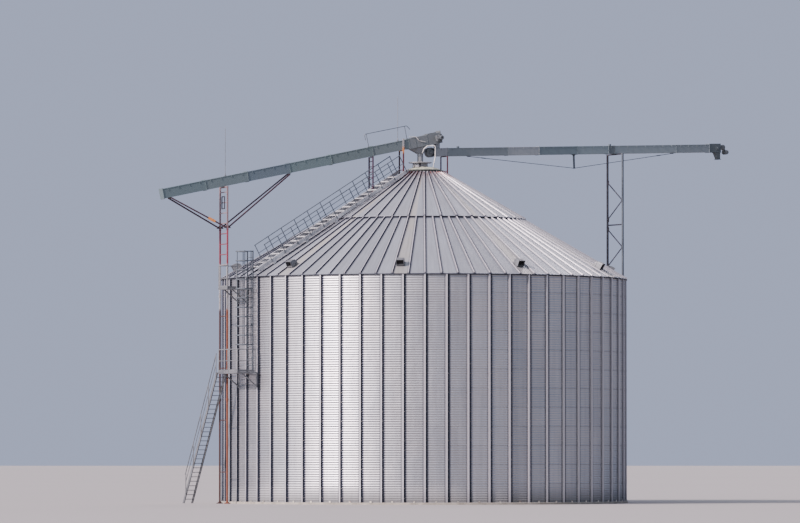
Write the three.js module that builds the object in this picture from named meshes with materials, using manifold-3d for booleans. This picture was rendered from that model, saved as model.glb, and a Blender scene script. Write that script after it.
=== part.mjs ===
// Round flat-bottomed feed silo of corrugated galvanised steel, with the two chain conveyors
// that meet over its peak, their masts, and the ladder, platforms and roof stair that serve it.
// Millimetres, +Z up. The origin is the middle of the foundation's underside, at ground level.
// +X is to the right in the front view, and the front of the silo faces -Y.
// Azimuths are in degrees from the front, towards +X.

import * as THREE from 'three';
import { mergeVertices } from 'three/addons/utils/BufferGeometryUtils.js';
import Module from 'manifold-3d';

const wasm = await Module();
wasm.setup();

const rad = THREE.MathUtils.degToRad;
const seat = 0.3; // gap between pieces that rest on each other

// Foundation and wall
const wallRadius = 9050;
const wallRings = 12;
const ringHeight = 832;
const foundationRadius = 9150;
const foundationHeight = 90;
const wallThickness = 20;
const wallBottom = foundationHeight;
const wallTop = wallBottom + wallRings * ringHeight;
const wallStep = 3; // degrees between the corners of the wall
const stiffenerStep = 6;
const stiffenerFoot = 150;
const stiffenerCrown = 90;
const stiffenerDepth = 65;
const stiffenerShort = 70; // how far a stiffener stops below the top of the wall
const quarters = ['front_right', 'back_right', 'back_left', 'front_left'];
const wallQuarterStart = 3;

// Roof
const roofSlope = Math.tan(rad(30));
const roofStep = 4.5; // degrees a panel
const eaveRadius = 9150;
const tierRadius = 4500;
const tierLap = 100;
const peakRadius = 800;
const sheetHeight = 14; // thickness of a roof sheet, measured upright
const ribRise = 58;
const ribFoot = 70;
const ribCrown = 30;
const ribEaveInset = 12;
const ribPeakRadius = 930;
const tierSeat = 0.7; // clears the edges of the flat rib crowns under the upper tier
const roofQuarterStart = 2.25;

// Peak fittings, over a point a little way out along the inclined conveyor
const collarInner = 700;
const collarOuter = 900;
const collarHeight = 62;
const collarSkirt = 90; // how far its inner skirt hangs through the roof's opening
const collarRim = 20;
const capRise = 115;
const capFlat = 450;
const capSheet = 15;
const drumFootHalf = 380; // half the length of the bar under it
const drumNeck = 250;
const drumFlangeRadius = 525;
const drumFlangeLow = 185; // height of the flange over the drum's foot
const drumFlangeHeight = 36;
const spoutRadius = 115;
const spoutBore = 95;
const spoutOut = 190;
const spoutTop = 15720;
const hopperTop = { from: -40, to: 690, half: 200 };
const hopperFoot = { from: spoutOut - 110, to: spoutOut + 125, half: 110 };
const hopperSheet = 14;

// Roof vents
const ventRadius = 8450;
const ventWidth = 320;
const ventSheet = 14;
const ventFoot = { from: -215, to: 190, proud: 25, thickness: 10 };
const ventFirst = -42.75;
const ventPitch = 36;
const ventShift = -60; // to the left of the middle of its panel
const ventCount = 10;

// Inclined conveyor, which comes up from the left and towards the viewer
const inclinedBearing = 202;
const inclinedFall = 0.21;
const inclinedAxisHeight = 16307; // of the trough's centre line over the silo's axis
const troughWidth = 440;
const troughHeight = 436;
const flangeProud = 25;
const flangeWidth = 24;
const inclinedJoints = [800, 2570, 4560, 6550, 8540, 10530, 12520];
const headEnd = -754;
const headPlateRise = 95; // the end plate stands this far over the casing
const hatch = { from: 200, to: 620, inset: 60, rise: 60 }; // from the end plate
const headMotorOut = -590;
const headRailEnds = [2710, 800];
const headRailHeight = 600;
const headRailRadius = 16;
const rodRadius = 12;
const rodFootHalf = 40;

// Level conveyor, which leaves to the right and away from the viewer
const levelBearing = 30;
const levelRise = 0.0408;
const levelAxisHeight = 15773;
const levelHeight = 370;
const levelWidth = 320;
const levelStart = 530;
const levelJoints = [1160, 4340, 5990, 8060, 9730, 10060, 13430, 15260];
const levelEnd = levelJoints.at(-1);
const levelFlangeProud = 15; // above and below; the sides stand as proud as the inclined one's
const driveHeadLength = 640;
const driveGearbox = { out: 165, height: 40, radius: 120, half: 120 }; // out from the head's end
const driveMotor = { out: 345, height: -190, radius: 108, half: 150 };
const outlet = { top: [360, 620], foot: [470, 625], drop: 330 }; // along from the head's start
const tailRadius = 225;
const tailOut = 300;
const tailWidth = 260;
const tailHub = 70;
const kingPostOut = 7930;
const kingPostDrop = 650;
const tieEnds = [2320, 13300];
const tieRadius = 14;
const transferBox = { from: 545, to: 770, half: 130 };

// Gear motor of the inclined conveyor
const gearboxHalf = 130;
const gearboxLength = 190;
const motorRadius = 115;
const motorLength = 280;
const cowlRadius = 95;
const cowlLength = 50;

// Mast, trestle and the small frames under the conveyors
const mastOut = 9600;
const mastHalfWidth = 475;
const mastLeg = 70;
const mastBars = [1400, 3700, 6000, 8300];
const mastRungsFrom = 10580; // the ladder-like upper part
const mastRungPitch = 460;
const strutFoot = 12200;
const strut = 60;
const strutHeads = { inner: 6550, outer: 12130, halfWidth: 190 };
const trestleOut = 10170;
const trestleHalfWidth = 650;
const trestleLeg = 80;
const trestleBar = 60;
const trestleBars = [610, 3640, 6670, 9700, 12730];
const trestleBrace = 44;
const braceFirst = 230; // height of the lowest brace's foot over a cross bar
const braceRise = 880;
const peakFrameOut = 1100;
const peakFrameHalfWidth = troughWidth / 2 + 25 + seat; // one leg passes beside the trough
const ladderFrameOut = 2570;
const ladderFrameHalfWidth = 233;
const rightFrameOut = 1050;
const rightFrameHalfWidth = 292;
const frameLeg = 50;
const frameRung = 35;

// Roof stair
const accessBearing = 214;
const accessAzimuth = accessBearing - 270;
const stairHalfWidth = 350; // to the middle of a stringer
const stairStart = 9050;
const stairEnd = 1100;
const treadsEnd = 1230;
const treadPitch = 342.5;
const treadDepth = 250;
const treadThickness = 40;
const footHalfLength = 60;
const footHalfWidth = 22;
const stringerWidth = 50;
const stringerLow = 75; // above the roof sheets, measured upright
const stringerHigh = 245;
const stairFeet = [8200, 6500, 4950, 3600, 2100];
const railPosts = [8350, 7665, 6980, 6295, 5610, 4925, 3875, 3190, 2505, 1820, 1180];
const railHeight = 850; // square to the slope
const railFoot = stringerLow + 40;
const railRadius = 20;
const railFlat = railRadius * Math.cos(rad(30)); // to the flats of a six-sided tube

// Caged ladder
const ladderOut = 9270;
const ladderHalfWidth = 225;
const stileHalf = 15;
const stileDepth = 60;
const ladderTop = 11150;
const rungPitch = 280;
const rungThickness = 28;
const ladderBrackets = [6400, 7900, 9400];
const bracketInset = 30; // from the middle of a stile
const cageHalfWidth = 340;
const cageDepth = 700;
const hoopPitch = 410;
const hoopFirst = 7010;
const cageBar = 40;
const cageThickness = 12;

// Platforms beside the ladder
const platformBearing = 208.5;
const platformDepth = 1020;
const platformFar = -450;
const upperDeck = 9510;
const upperNear = 430;
const lowerDeck = 5800;
const lowerNear = 1420;
const deckThickness = 60;
const bracketDrop = 560; // from the deck's underside to the foot of its brackets
const bracketBar = 50;
const guardHeight = 1000;
const guardTube = 40;
const upperKnee = 420;
const lowerKnee = 500;

// Steep stair from the ground to the lower platform
const flightInner = 9690;
const flightOuter = 10150;
const flightSlope = Math.tan(rad(60));
const flightRise = 200;
const flightStringer = { width: 40, depth: 150 };
const flightTread = { depth: 122, thickness: 30 };
const flightPosts = [500, 1800, 3100, 4400, 5700];
const flightRailHeight = 880;

const finish = {
  galvanised: new THREE.MeshStandardMaterial({ color: 0xb4b8bb, roughness: 0.4, metalness: 0.85 }),
  roofing: new THREE.MeshStandardMaterial({ color: 0xaeb2b3, roughness: 0.45, metalness: 0.8 }),
  dullSteel: new THREE.MeshStandardMaterial({ color: 0x6f7678, roughness: 0.6, metalness: 0.6 }),
  conveyor: new THREE.MeshStandardMaterial({ color: 0x7d8b8d, roughness: 0.6, metalness: 0.4 }),
  redOxide: new THREE.MeshStandardMaterial({ color: 0x8a3a2c, roughness: 0.8, metalness: 0.1 }),
  walkway: new THREE.MeshStandardMaterial({ color: 0x8f9699, roughness: 0.55, metalness: 0.7 }),
  concrete: new THREE.MeshStandardMaterial({ color: 0x9a968c, roughness: 0.95, metalness: 0 }),
  machine: new THREE.MeshStandardMaterial({ color: 0x5d6468, roughness: 0.6, metalness: 0.5 }),
};

// Solids

function solid(geometry) {
  const plain = geometry.clone();
  plain.deleteAttribute('normal');
  plain.deleteAttribute('uv');
  const merged = mergeVertices(plain);
  return new wasm.Manifold(new wasm.Mesh({
    numProp: 3,
    vertProperties: Float32Array.from(merged.attributes.position.array),
    triVerts: Uint32Array.from(merged.index.array),
  }));
}

function join(pieces) {
  return pieces.reduce((whole, piece) => whole.add(piece));
}

function mesh(name, body, material) {
  const { vertProperties, triVerts, numProp } = body.getMesh();
  const geometry = new THREE.BufferGeometry();
  const interleaved = new THREE.InterleavedBuffer(vertProperties, numProp);
  geometry.setAttribute('position', new THREE.InterleavedBufferAttribute(interleaved, 3, 0));
  geometry.setIndex(new THREE.BufferAttribute(triVerts, 1));
  const piece = new THREE.Mesh(geometry.toNonIndexed(), material);
  piece.geometry.computeVertexNormals();
  piece.name = name;
  return piece;
}

// A box given by its low and high corners.
function box(x0, x1, y0, y1, z0, z1) {
  const geometry = new THREE.BoxGeometry(x1 - x0, y1 - y0, z1 - z0);
  geometry.translate((x0 + x1) / 2, (y0 + y1) / 2, (z0 + z1) / 2);
  return solid(geometry);
}

// A box with each of its corners moved to place(x, y, z), where x, y and z are 0 or 1.
function wedge(place) {
  const geometry = new THREE.BoxGeometry(1, 1, 1).translate(0.5, 0.5, 0.5);
  const position = geometry.attributes.position;
  for (let i = 0; i < position.count; i += 1) {
    const to = place(Math.round(position.getX(i)), Math.round(position.getY(i)), Math.round(position.getZ(i)));
    position.setXYZ(i, to.x, to.y, to.z);
  }
  return solid(geometry);
}

// A geometry made along +Z, from z = 0 to its length, laid from one point to another.
function lay(geometry, from, to, sideways) {
  const along = to.clone().sub(from).normalize();
  const across = (sideways ?? new THREE.Vector3(0, 0, 1)).clone();
  if (Math.abs(across.dot(along)) > 0.99) across.set(0, 1, 0);
  const side = new THREE.Vector3().crossVectors(across, along).normalize();
  const up = new THREE.Vector3().crossVectors(along, side);
  const turn = new THREE.Matrix4().makeBasis(side, up, along);
  return solid(geometry.applyMatrix4(turn.setPosition(from)));
}

// A square or flat bar. Its width lies across both its length and the upright.
function bar(from, to, width, depth = width, sideways) {
  const length = from.distanceTo(to);
  return lay(new THREE.BoxGeometry(width, depth, length).translate(0, 0, length / 2), from, to, sideways);
}

function tube(from, to, radius, sides = 6) {
  const length = from.distanceTo(to);
  const geometry = new THREE.CylinderGeometry(radius, radius, length, sides);
  return lay(geometry.rotateX(Math.PI / 2).translate(0, 0, length / 2), from, to);
}

// A closed outline of [x, y] points, raised along +Z.
function raise(outline, from, to) {
  const shape = new THREE.Shape(outline.map(([x, y]) => new THREE.Vector2(x, y)));
  const geometry = new THREE.ExtrudeGeometry(shape, { depth: to - from, bevelEnabled: false });
  return solid(geometry.translate(0, 0, from));
}

// An outline of [x, z] points, raised along Y from one side to the other.
function raiseAcross(outline, from, to) {
  const shape = new THREE.Shape(outline.map(([x, z]) => new THREE.Vector2(x, z)));
  const geometry = new THREE.ExtrudeGeometry(shape, { depth: to - from, bevelEnabled: false });
  return solid(geometry.rotateX(Math.PI / 2).translate(0, to, 0));
}

// A profile of [radius, z] points turned about the Z axis.
function turned(profile, sides) {
  const points = profile.map(([r, z]) => new THREE.Vector2(r, z));
  return solid(new THREE.LatheGeometry(points, sides).rotateX(Math.PI / 2));
}

const at = (x, y, z) => new THREE.Vector3(x, y, z);

function polar(radius, azimuth, z) {
  return at(radius * Math.sin(rad(azimuth)), -radius * Math.cos(rad(azimuth)), z);
}

function flat(radius, azimuth) {
  const point = polar(radius, azimuth, 0);
  return [point.x, point.y];
}

// Heights that the pieces share

const halfPanel = rad(roofStep / 2);
const eaveUnderside = wallTop + seat
  - (eaveRadius * Math.cos(halfPanel) - wallRadius) * roofSlope / Math.cos(halfPanel);
const eaveTop = eaveUnderside + sheetHeight;
const tierLift = ribRise + tierSeat + sheetHeight;

// Height of the top of a roof sheet along a rib line.
function sheetTop(radius, lift = 0) {
  return eaveTop + lift + (eaveRadius - radius) * roofSlope;
}

// Height of the top of the roof's flat panels over any point in plan.
function roofTop(x, y) {
  const azimuth = Math.atan2(x, -y);
  const radius = Math.hypot(x, y);
  const step = 2 * halfPanel;
  const offPanel = azimuth - (Math.floor(azimuth / step) + 0.5) * step;
  const ribRadius = radius * Math.cos(offPanel) / Math.cos(halfPanel);
  return sheetTop(ribRadius, ribRadius < tierRadius + tierLap ? tierLift : 0);
}

function inclinedAxis(out) {
  return inclinedAxisHeight - inclinedFall * out;
}

const inclinedUpright = Math.hypot(1, inclinedFall);
const troughHalf = troughHeight / 2 * inclinedUpright;
const flangeHalf = (troughHeight / 2 + flangeProud) * inclinedUpright;

function levelAxis(out) {
  return levelAxisHeight + levelRise * out;
}

const levelUpright = Math.hypot(1, levelRise);
const levelHalf = levelHeight / 2 * levelUpright;

// Foundation, wall and roof

function foundation() {
  const outline = [];
  for (let azimuth = 0; azimuth < 360; azimuth += wallStep) outline.push(flat(foundationRadius, azimuth));
  return mesh('foundation', raise(outline, 0, foundationHeight), finish.concrete);
}

function stiffener(azimuth) {
  const spread = (width, radius) => THREE.MathUtils.radToDeg(width / 2 / radius);
  const inside = wallRadius - wallThickness / 2;
  const outside = wallRadius + stiffenerDepth;
  const outline = [
    flat(inside, azimuth - spread(stiffenerFoot, inside)),
    flat(outside, azimuth - spread(stiffenerCrown, outside)),
    flat(outside, azimuth + spread(stiffenerCrown, outside)),
    flat(inside, azimuth + spread(stiffenerFoot, inside)),
  ];
  return raise(outline, wallBottom, wallTop - stiffenerShort);
}

function wallQuarter(name, start) {
  const open = THREE.MathUtils.radToDeg(seat / 2 / wallRadius);
  const stations = [start + open];
  for (let azimuth = start + wallStep; azimuth < start + 90; azimuth += wallStep) stations.push(azimuth);
  stations.push(start + 90 - open);
  const outer = stations.map((azimuth) => flat(wallRadius, azimuth));
  const inner = stations.map((azimuth) => flat(wallRadius - wallThickness, azimuth)).reverse();
  const pieces = [raise([...outer, ...inner], wallBottom, wallTop)];
  for (let azimuth = start + wallStep; azimuth < start + 90; azimuth += stiffenerStep) {
    pieces.push(stiffener(azimuth));
  }
  return mesh(`wall_${name}`, join(pieces), finish.galvanised);
}

function roofSheet(from, to, outer, inner, lift, depth = sheetHeight) {
  return wedge((x, y, z) => {
    const radius = x ? inner : outer;
    const top = sheetTop(radius, lift);
    return polar(radius, y ? from : to, z ? top : top - depth);
  });
}

function roofRib(azimuth, outer, inner, lift) {
  const sideways = polar(1, azimuth + 90, 0);
  return wedge((x, y, z) => {
    const radius = x ? inner : outer;
    const half = (z ? ribCrown : ribFoot) / 2;
    const height = sheetTop(radius, lift) + (z ? ribRise : -sheetHeight / 2);
    return polar(radius, azimuth, height).addScaledVector(sideways, y ? -half : half);
  });
}

function roofQuarter(name, start, tier) {
  const open = THREE.MathUtils.radToDeg(seat / 2 / tier.inner);
  const stations = [start + open];
  for (let azimuth = start + roofStep / 2; azimuth < start + 90; azimuth += roofStep) stations.push(azimuth);
  stations.push(start + 90 - open);
  const pieces = [];
  for (let i = 1; i < stations.length; i += 1) {
    pieces.push(roofSheet(stations[i - 1], stations[i], tier.outer, tier.inner, tier.lift));
  }
  for (let azimuth = start + roofStep / 2; azimuth < start + 90; azimuth += roofStep) {
    if (Math.round(azimuth / roofStep) % tier.ribEvery === 0) {
      pieces.push(roofRib(azimuth, tier.outer - ribEaveInset, tier.ribInner, tier.lift));
    }
  }
  return mesh(`${tier.name}_${name}`, join(pieces), finish.roofing);
}

const tiers = [
  { name: 'lower_roof', outer: eaveRadius, inner: tierRadius, ribInner: tierRadius, lift: 0, ribEvery: 1 },
  {
    name: 'upper_roof',
    outer: tierRadius + tierLap,
    inner: peakRadius,
    ribInner: ribPeakRadius,
    lift: tierLift,
    ribEvery: 2,
  },
];

// The roof and the space under it either side of a bearing, in a frame turned to that bearing.
// Feet and legs are cut by it, so that each stands on whatever sheet or rib is under it.
function roofSpace(bearing) {
  const middle = Math.round((bearing + 90) / roofStep) * roofStep;
  const reach = 5 * roofStep;
  const under = 400;
  const pieces = [];
  for (const tier of tiers) {
    const lift = tier.lift + 2 * seat;
    for (let azimuth = middle - reach; azimuth < middle + reach; azimuth += roofStep) {
      const turn = azimuth - bearing;
      pieces.push(roofSheet(turn, turn + roofStep, tier.outer, tier.inner, lift, under));
      if (Math.round(azimuth / roofStep) % tier.ribEvery === 0) {
        pieces.push(roofRib(turn, tier.outer - ribEaveInset, tier.ribInner, lift));
      }
    }
  }
  return join(pieces);
}

// Peak fittings

const peakSheet = sheetTop(peakRadius, tierLift);
const capFoot = peakSheet + seat + collarHeight + seat;
const drumFoot = capFoot + capRise + seat;
const drumFlangeTop = drumFoot + drumFlangeLow + drumFlangeHeight;

function peakCollar() {
  const low = peakSheet + seat;
  const profile = [
    [collarInner, low - collarSkirt],
    [peakRadius - 15, low - collarSkirt],
    [peakRadius - 15, low],
    [collarOuter, low],
    [collarOuter, low + collarRim],
    [collarInner + 60, low + collarHeight],
    [collarInner, low + collarHeight],
    [collarInner, low - collarSkirt],
  ];
  return mesh('peak_collar', turned(profile, 40), finish.dullSteel);
}

// The grain inlet stands over this point, in the frame of the inclined conveyor.
function inletBore(radius, from, to) {
  return tube(at(spoutOut, 0, from), at(spoutOut, 0, to), radius, 16);
}

function peakCap() {
  const rim = collarInner + 40;
  const profile = [
    [0, capRise - capSheet],
    [capFlat - 20, capRise - capSheet],
    [rim - 30, 0],
    [rim, 0],
    [capFlat, capRise],
    [0, capRise],
  ];
  const shell = turned(profile.map(([r, z]) => [r, z + capFoot]), 40);
  return mesh('peak_cap', shell.subtract(inletBore(spoutBore, capFoot, drumFoot)), finish.dullSteel);
}

function inletDrum() {
  const shell = join([
    inletBore(drumNeck, drumFoot, drumFoot + drumFlangeLow),
    inletBore(drumFlangeRadius, drumFoot + drumFlangeLow, drumFlangeTop),
    box(spoutOut - 60, spoutOut + 60, -drumFootHalf, drumFootHalf, drumFoot, drumFoot + 40),
  ]);
  const bore = inletBore(spoutBore, drumFoot - 1, drumFlangeTop + 1);
  return mesh('inlet_drum', shell.subtract(bore), finish.dullSteel);
}

// A spout that widens into a hopper under the head of the inclined conveyor.
function inletSpout() {
  const low = drumFlangeTop + seat;
  const funnel = (sheet, rise) => wedge((x, y, z) => {
    const { from, to, half } = z ? hopperTop : hopperFoot;
    const out = x ? to - sheet : from + sheet;
    const top = inclinedAxis(out) - flangeHalf - seat + rise;
    return at(out, y ? half - sheet : sheet - half, z ? top : spoutTop - 20 - rise);
  });
  const outside = join([
    inletBore(spoutRadius, low, spoutTop),
    inletBore(spoutRadius + 45, low, low + 20),
    funnel(0, 0),
  ]);
  const bore = inletBore(spoutBore, low - 1, spoutTop + 20);
  return mesh('inlet_spout', outside.subtract(join([bore, funnel(hopperSheet, 1)])), finish.dullSteel);
}

// A gooseneck hood with its mouth facing down the slope.
function vent(index) {
  const azimuth = ventFirst + index * ventPitch;
  const hood = (sheet) => raiseAcross([
    [-190 + sheet, sheet],
    [-190 + sheet, 150],
    [-140 + sheet * 0.6, 240 - sheet * 0.6],
    [-60, 300 - sheet],
    [60, 325 - sheet],
    [210 + sheet, 330 - sheet],
    [210 + sheet, 70 + sheet],
    [150, sheet],
  ], -ventWidth / 2 + sheet, ventWidth / 2 - sheet);
  const wide = ventWidth / 2 + ventFoot.proud;
  const body = join([
    hood(0).subtract(hood(ventSheet)),
    box(ventFoot.from, ventFoot.to, -wide, wide, 0, ventFoot.thickness),
  ]);
  const piece = mesh(`roof_vent_${index + 1}`, body, finish.galvanised);
  const place = polar(ventRadius, azimuth, 0).add(polar(ventShift, azimuth + 90, 0));
  piece.rotation.set(0, Math.atan(roofSlope / Math.cos(halfPanel)), rad(azimuth - 90), 'ZYX');
  piece.position.set(place.x, place.y, roofTop(place.x, place.y) + seat);
  return piece;
}

// Roof stair and its rails, in a frame whose X axis runs out along the stair

function stairLine(out, above) {
  return sheetTop(out, tierLift) + above;
}

// Height of the lower end of a foot or leg before it is cut to the roof.
const intoRoof = (corner) => stairLine(corner.x, -250);

const accessTurn = new THREE.Matrix4().makeRotationZ(rad(accessBearing));

function stairFoot(out, side) {
  return wedge((x, y, z) => {
    const along = x ? footHalfLength : -footHalfLength;
    const corner = at(out + along, side + (y ? footHalfWidth : -footHalfWidth), 0);
    return corner.setZ(z ? stairLine(corner.x, stringerLow + 20) : intoRoof(corner));
  });
}

function roofStair() {
  const slanted = (outer, inner, y0, y1, low, high) => wedge((x, y, z) => {
    const out = x ? outer : inner;
    return at(out, y ? y1 : y0, stairLine(out, z ? high : low));
  });
  const pieces = [];
  const feet = [];
  for (const side of [-stairHalfWidth, stairHalfWidth]) {
    const half = stringerWidth / 2;
    pieces.push(slanted(stairStart, stairEnd, side - half, side + half, stringerLow, stringerHigh));
    for (const out of stairFeet) feet.push(stairFoot(out, side));
  }
  pieces.push(join(feet).subtract(roofSpace(accessBearing)));
  for (let out = stairStart - 60; out - treadDepth > treadsEnd; out -= treadPitch) {
    const high = stairLine(out - treadDepth / 2, stringerHigh - 40);
    pieces.push(box(out - treadDepth, out, -stairHalfWidth, stairHalfWidth, high - treadThickness, high));
  }
  return mesh('roof_stair', join(pieces), finish.walkway);
}

// The posts stand square to the slope against the outside of a stringer.
function stairRail(name, side) {
  const slope = Math.atan(roofSlope);
  const y = side * (stairHalfWidth + stringerWidth / 2 + railFlat + seat);
  const foot = (out) => at(out, y, stairLine(out, railFoot));
  const head = (out) => foot(out).add(at(Math.sin(slope) * railHeight, 0, Math.cos(slope) * railHeight));
  const pieces = railPosts.map((out) => tube(foot(out), head(out), railRadius));
  pieces.push(tube(head(railPosts[0] + 25), head(railPosts.at(-1) - 25), railRadius));
  return mesh(name, join(pieces), finish.walkway);
}

// Caged ladder

// Radius of the wall's outside at an azimuth.
function wallReach(azimuth) {
  const off = azimuth - (Math.floor(azimuth / wallStep) + 0.5) * wallStep;
  return wallRadius * Math.cos(rad(wallStep / 2)) / Math.cos(rad(off));
}

function ladder() {
  const pieces = [];
  const deep = stileDepth / 2;
  const thin = rungThickness / 2;
  const low = lowerDeck + seat;
  for (const side of [-ladderHalfWidth, ladderHalfWidth]) {
    pieces.push(box(ladderOut - deep, ladderOut + deep, side - stileHalf, side + stileHalf, low, ladderTop));
    const inward = side - Math.sign(side) * bracketInset;
    const reach = (y) => {
      const turn = Math.asin(y / wallRadius);
      return wallReach(accessAzimuth + THREE.MathUtils.radToDeg(turn)) * Math.cos(turn);
    };
    const wallFace = Math.max(reach(inward - 20), reach(inward + 20)) + seat;
    for (const z of ladderBrackets) {
      pieces.push(box(wallFace, ladderOut, inward - 20, inward + 20, z, z + 40));
    }
  }
  for (let z = low + rungPitch; z < ladderTop - 60; z += rungPitch) {
    pieces.push(box(
      ladderOut - thin, ladderOut + thin, -ladderHalfWidth, ladderHalfWidth, z, z + rungThickness,
    ));
  }
  return mesh('wall_ladder', join(pieces), finish.walkway);
}

function hoopLevels() {
  const levels = [];
  for (let z = hoopFirst; z < ladderTop; z += hoopPitch) levels.push(z);
  return levels;
}

// Flat bars at each level between the given points in plan, tied by an upright at some of them.
function cagePanel(name, corners, uprights) {
  const pieces = [];
  const levels = hoopLevels();
  const thin = cageThickness;
  for (const z of levels) {
    for (let i = 1; i < corners.length; i += 1) {
      const [from, to] = [corners[i - 1], corners[i]].map(([x, y]) => at(ladderOut + x, y, z));
      pieces.push(bar(from, to, thin, cageBar));
    }
  }
  for (const [x, y] of uprights) {
    pieces.push(box(
      ladderOut + x - thin, ladderOut + x + thin, y - thin, y + thin,
      levels[0] - cageBar, levels.at(-1) + cageBar,
    ));
  }
  return mesh(name, join(pieces), finish.walkway);
}

function cage() {
  const beside = ladderHalfWidth + stileHalf + cageThickness / 2 + seat;
  const bend = cageDepth - 210;
  const side = (sign) => [
    [-20, sign * beside],
    [50, sign * beside],
    [150, sign * cageHalfWidth],
    [bend, sign * cageHalfWidth],
  ];
  const apart = cageThickness + 5; // the back hoops start at a slant, clear of the side uprights
  return [
    cagePanel('cage_far_side', side(-1), [[160, -cageHalfWidth], [bend, -cageHalfWidth]]),
    cagePanel('cage_near_side', side(1), [[160, cageHalfWidth], [bend, cageHalfWidth]]),
    cagePanel('cage_back', [
      [bend + apart, -cageHalfWidth + 5],
      [cageDepth, -110],
      [cageDepth, 110],
      [bend + apart, cageHalfWidth - 5],
    ], [[cageDepth, 0]]),
  ];
}

// Platforms, in a frame whose X axis runs straight out from the wall

const crownReach = wallRadius + stiffenerDepth;
const crownTurn = 1.5 - THREE.MathUtils.radToDeg(stiffenerCrown / 2 / crownReach); // nearest stiffener
const deckInner = crownReach * Math.cos(rad(crownTurn)) + seat;
const deckOuter = deckInner + platformDepth;

function platform(name, deckTop, near) {
  const low = deckTop - deckThickness;
  const pieces = [box(deckInner, deckOuter, platformFar, near, low, deckTop)];
  for (const side of [platformFar + 60, near - 60]) {
    const half = bracketBar / 2;
    const foot = at(deckInner + 30, side, low - bracketDrop);
    pieces.push(bar(foot, at(deckOuter - 260, side, low + 20), bracketBar));
    pieces.push(box(deckInner, deckInner + 60, side - half, side + half, foot.z - 60, low + 10));
  }
  return mesh(name, join(pieces), finish.walkway);
}

// Guard rails round a list of plan corners, standing on a deck. The posts stand at the corners.
function guard(name, deckTop, corners, posts, knee) {
  const pieces = [];
  for (const height of [knee, guardHeight]) {
    for (let i = 1; i < corners.length; i += 1) {
      const [from, to] = [corners[i - 1], corners[i]];
      const ends = [at(...from, deckTop + height), at(...to, deckTop + height)];
      pieces.push(bar(ends[0], ends[1], guardTube, guardTube));
    }
  }
  const half = guardTube / 2;
  for (const [x, y] of posts) {
    pieces.push(box(x - half, x + half, y - half, y + half, deckTop + seat, deckTop + guardHeight + half));
  }
  return mesh(name, join(pieces), finish.walkway);
}

function platforms() {
  const edge = guardTube / 2 + 5;
  const inner = deckInner + 120;
  const outer = deckOuter - edge;
  const far = platformFar + edge;
  const upperCorners = [[inner, far], [outer, far], [outer, upperNear - edge]];
  const lowerCorners = [[outer, far], [outer, lowerNear - edge], [inner, lowerNear - edge]];
  const middle = [outer, (far + lowerNear - edge) / 2];
  return [
    platform('upper_platform', upperDeck, upperNear),
    guard('upper_platform_rail', upperDeck, upperCorners, upperCorners, upperKnee),
    platform('lower_platform', lowerDeck, lowerNear),
    guard('lower_platform_rail', lowerDeck, lowerCorners, [...lowerCorners, middle], lowerKnee),
  ];
}

// Steep stair that comes up to the far end of the lower platform

const flightTop = platformFar - seat;

function flightY(z) {
  return flightTop - (lowerDeck - z) / flightSlope;
}

function accessStair() {
  const pieces = [];
  const { width, depth } = flightStringer;
  for (const x of [flightInner, flightOuter - width]) {
    pieces.push(wedge((dx, dy, dz) => {
      const z = dz ? lowerDeck : 0;
      return at(x + width * dx, flightY(z) - (dy ? 0 : depth), z);
    }));
  }
  for (let z = flightRise; z < lowerDeck; z += flightRise) {
    const y = flightY(z) - 20;
    pieces.push(box(
      flightInner + width / 2, flightOuter - width / 2, y - flightTread.depth, y, z - flightTread.thickness, z,
    ));
  }
  return mesh('access_stair', join(pieces), finish.walkway);
}

function accessRail() {
  const x = flightOuter + railFlat + seat;
  const middle = flightStringer.depth / 2;
  const head = (z) => at(x, flightY(z) - middle, z + flightRailHeight);
  const pieces = flightPosts.map((z) => tube(at(x, flightY(z) - middle, z - 100), head(z), railRadius));
  pieces.push(tube(head(400), head(5760), railRadius));
  return mesh('access_stair_rail', join(pieces), finish.walkway);
}

// Inclined conveyor

function inclinedLength(out) {
  return out * inclinedUpright;
}

function inclinedTrough() {
  const half = troughHeight / 2;
  const wide = troughWidth / 2;
  const ends = [inclinedLength(inclinedJoints[0]), inclinedLength(inclinedJoints.at(-1))];
  const pieces = [box(ends[0] + seat, ends[1], -wide, wide, -half, half)];
  for (const out of inclinedJoints) {
    const x = inclinedLength(out);
    const low = out === inclinedJoints[0] ? x + seat : x - flangeWidth / 2;
    pieces.push(box(
      low, x + flangeWidth / 2, -wide - flangeProud, wide + flangeProud,
      -half - flangeProud, half + flangeProud,
    ));
  }
  return mesh('inclined_trough', join(pieces), finish.conveyor);
}

function inclinedHead() {
  const half = troughHeight / 2;
  const wide = troughWidth / 2 + flangeProud;
  const joint = inclinedLength(inclinedJoints[0]) - seat;
  const end = inclinedLength(headEnd);
  const body = join([
    box(end + 30, joint, -wide + 10, wide - 10, -half - 25, half + 25),
    box(joint - flangeWidth / 2, joint, -wide, wide, -half - flangeProud, half + flangeProud),
    box(end, end + 36, -wide - 15, wide + 15, -half - 25, half + headPlateRise),
    box(end + hatch.from, end + hatch.to, -wide + hatch.inset, wide - hatch.inset, half, half + hatch.rise),
  ]);
  return mesh('inclined_head', body, finish.conveyor);
}

// The gear motor lies along Y: gearbox, round motor with its cowl, and terminal box.
function headMotor() {
  const x = headMotorOut;
  const y = troughWidth / 2 + flangeProud - 10 + seat;
  const motorEnd = gearboxLength + motorLength;
  const round = (radius, from, to) => tube(at(x, y + from, 0), at(x, y + to, 0), radius, 16);
  const body = join([
    box(x - gearboxHalf, x + gearboxHalf, y, y + gearboxLength, -gearboxHalf - 20, gearboxHalf),
    round(motorRadius, gearboxLength - 10, motorEnd),
    round(cowlRadius, motorEnd - 10, motorEnd + cowlLength),
    box(x - 60, x + 60, y + gearboxLength + 70, y + gearboxLength + 210, 60, motorRadius + 55),
  ]);
  return mesh('inclined_motor', body, finish.machine);
}

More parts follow.
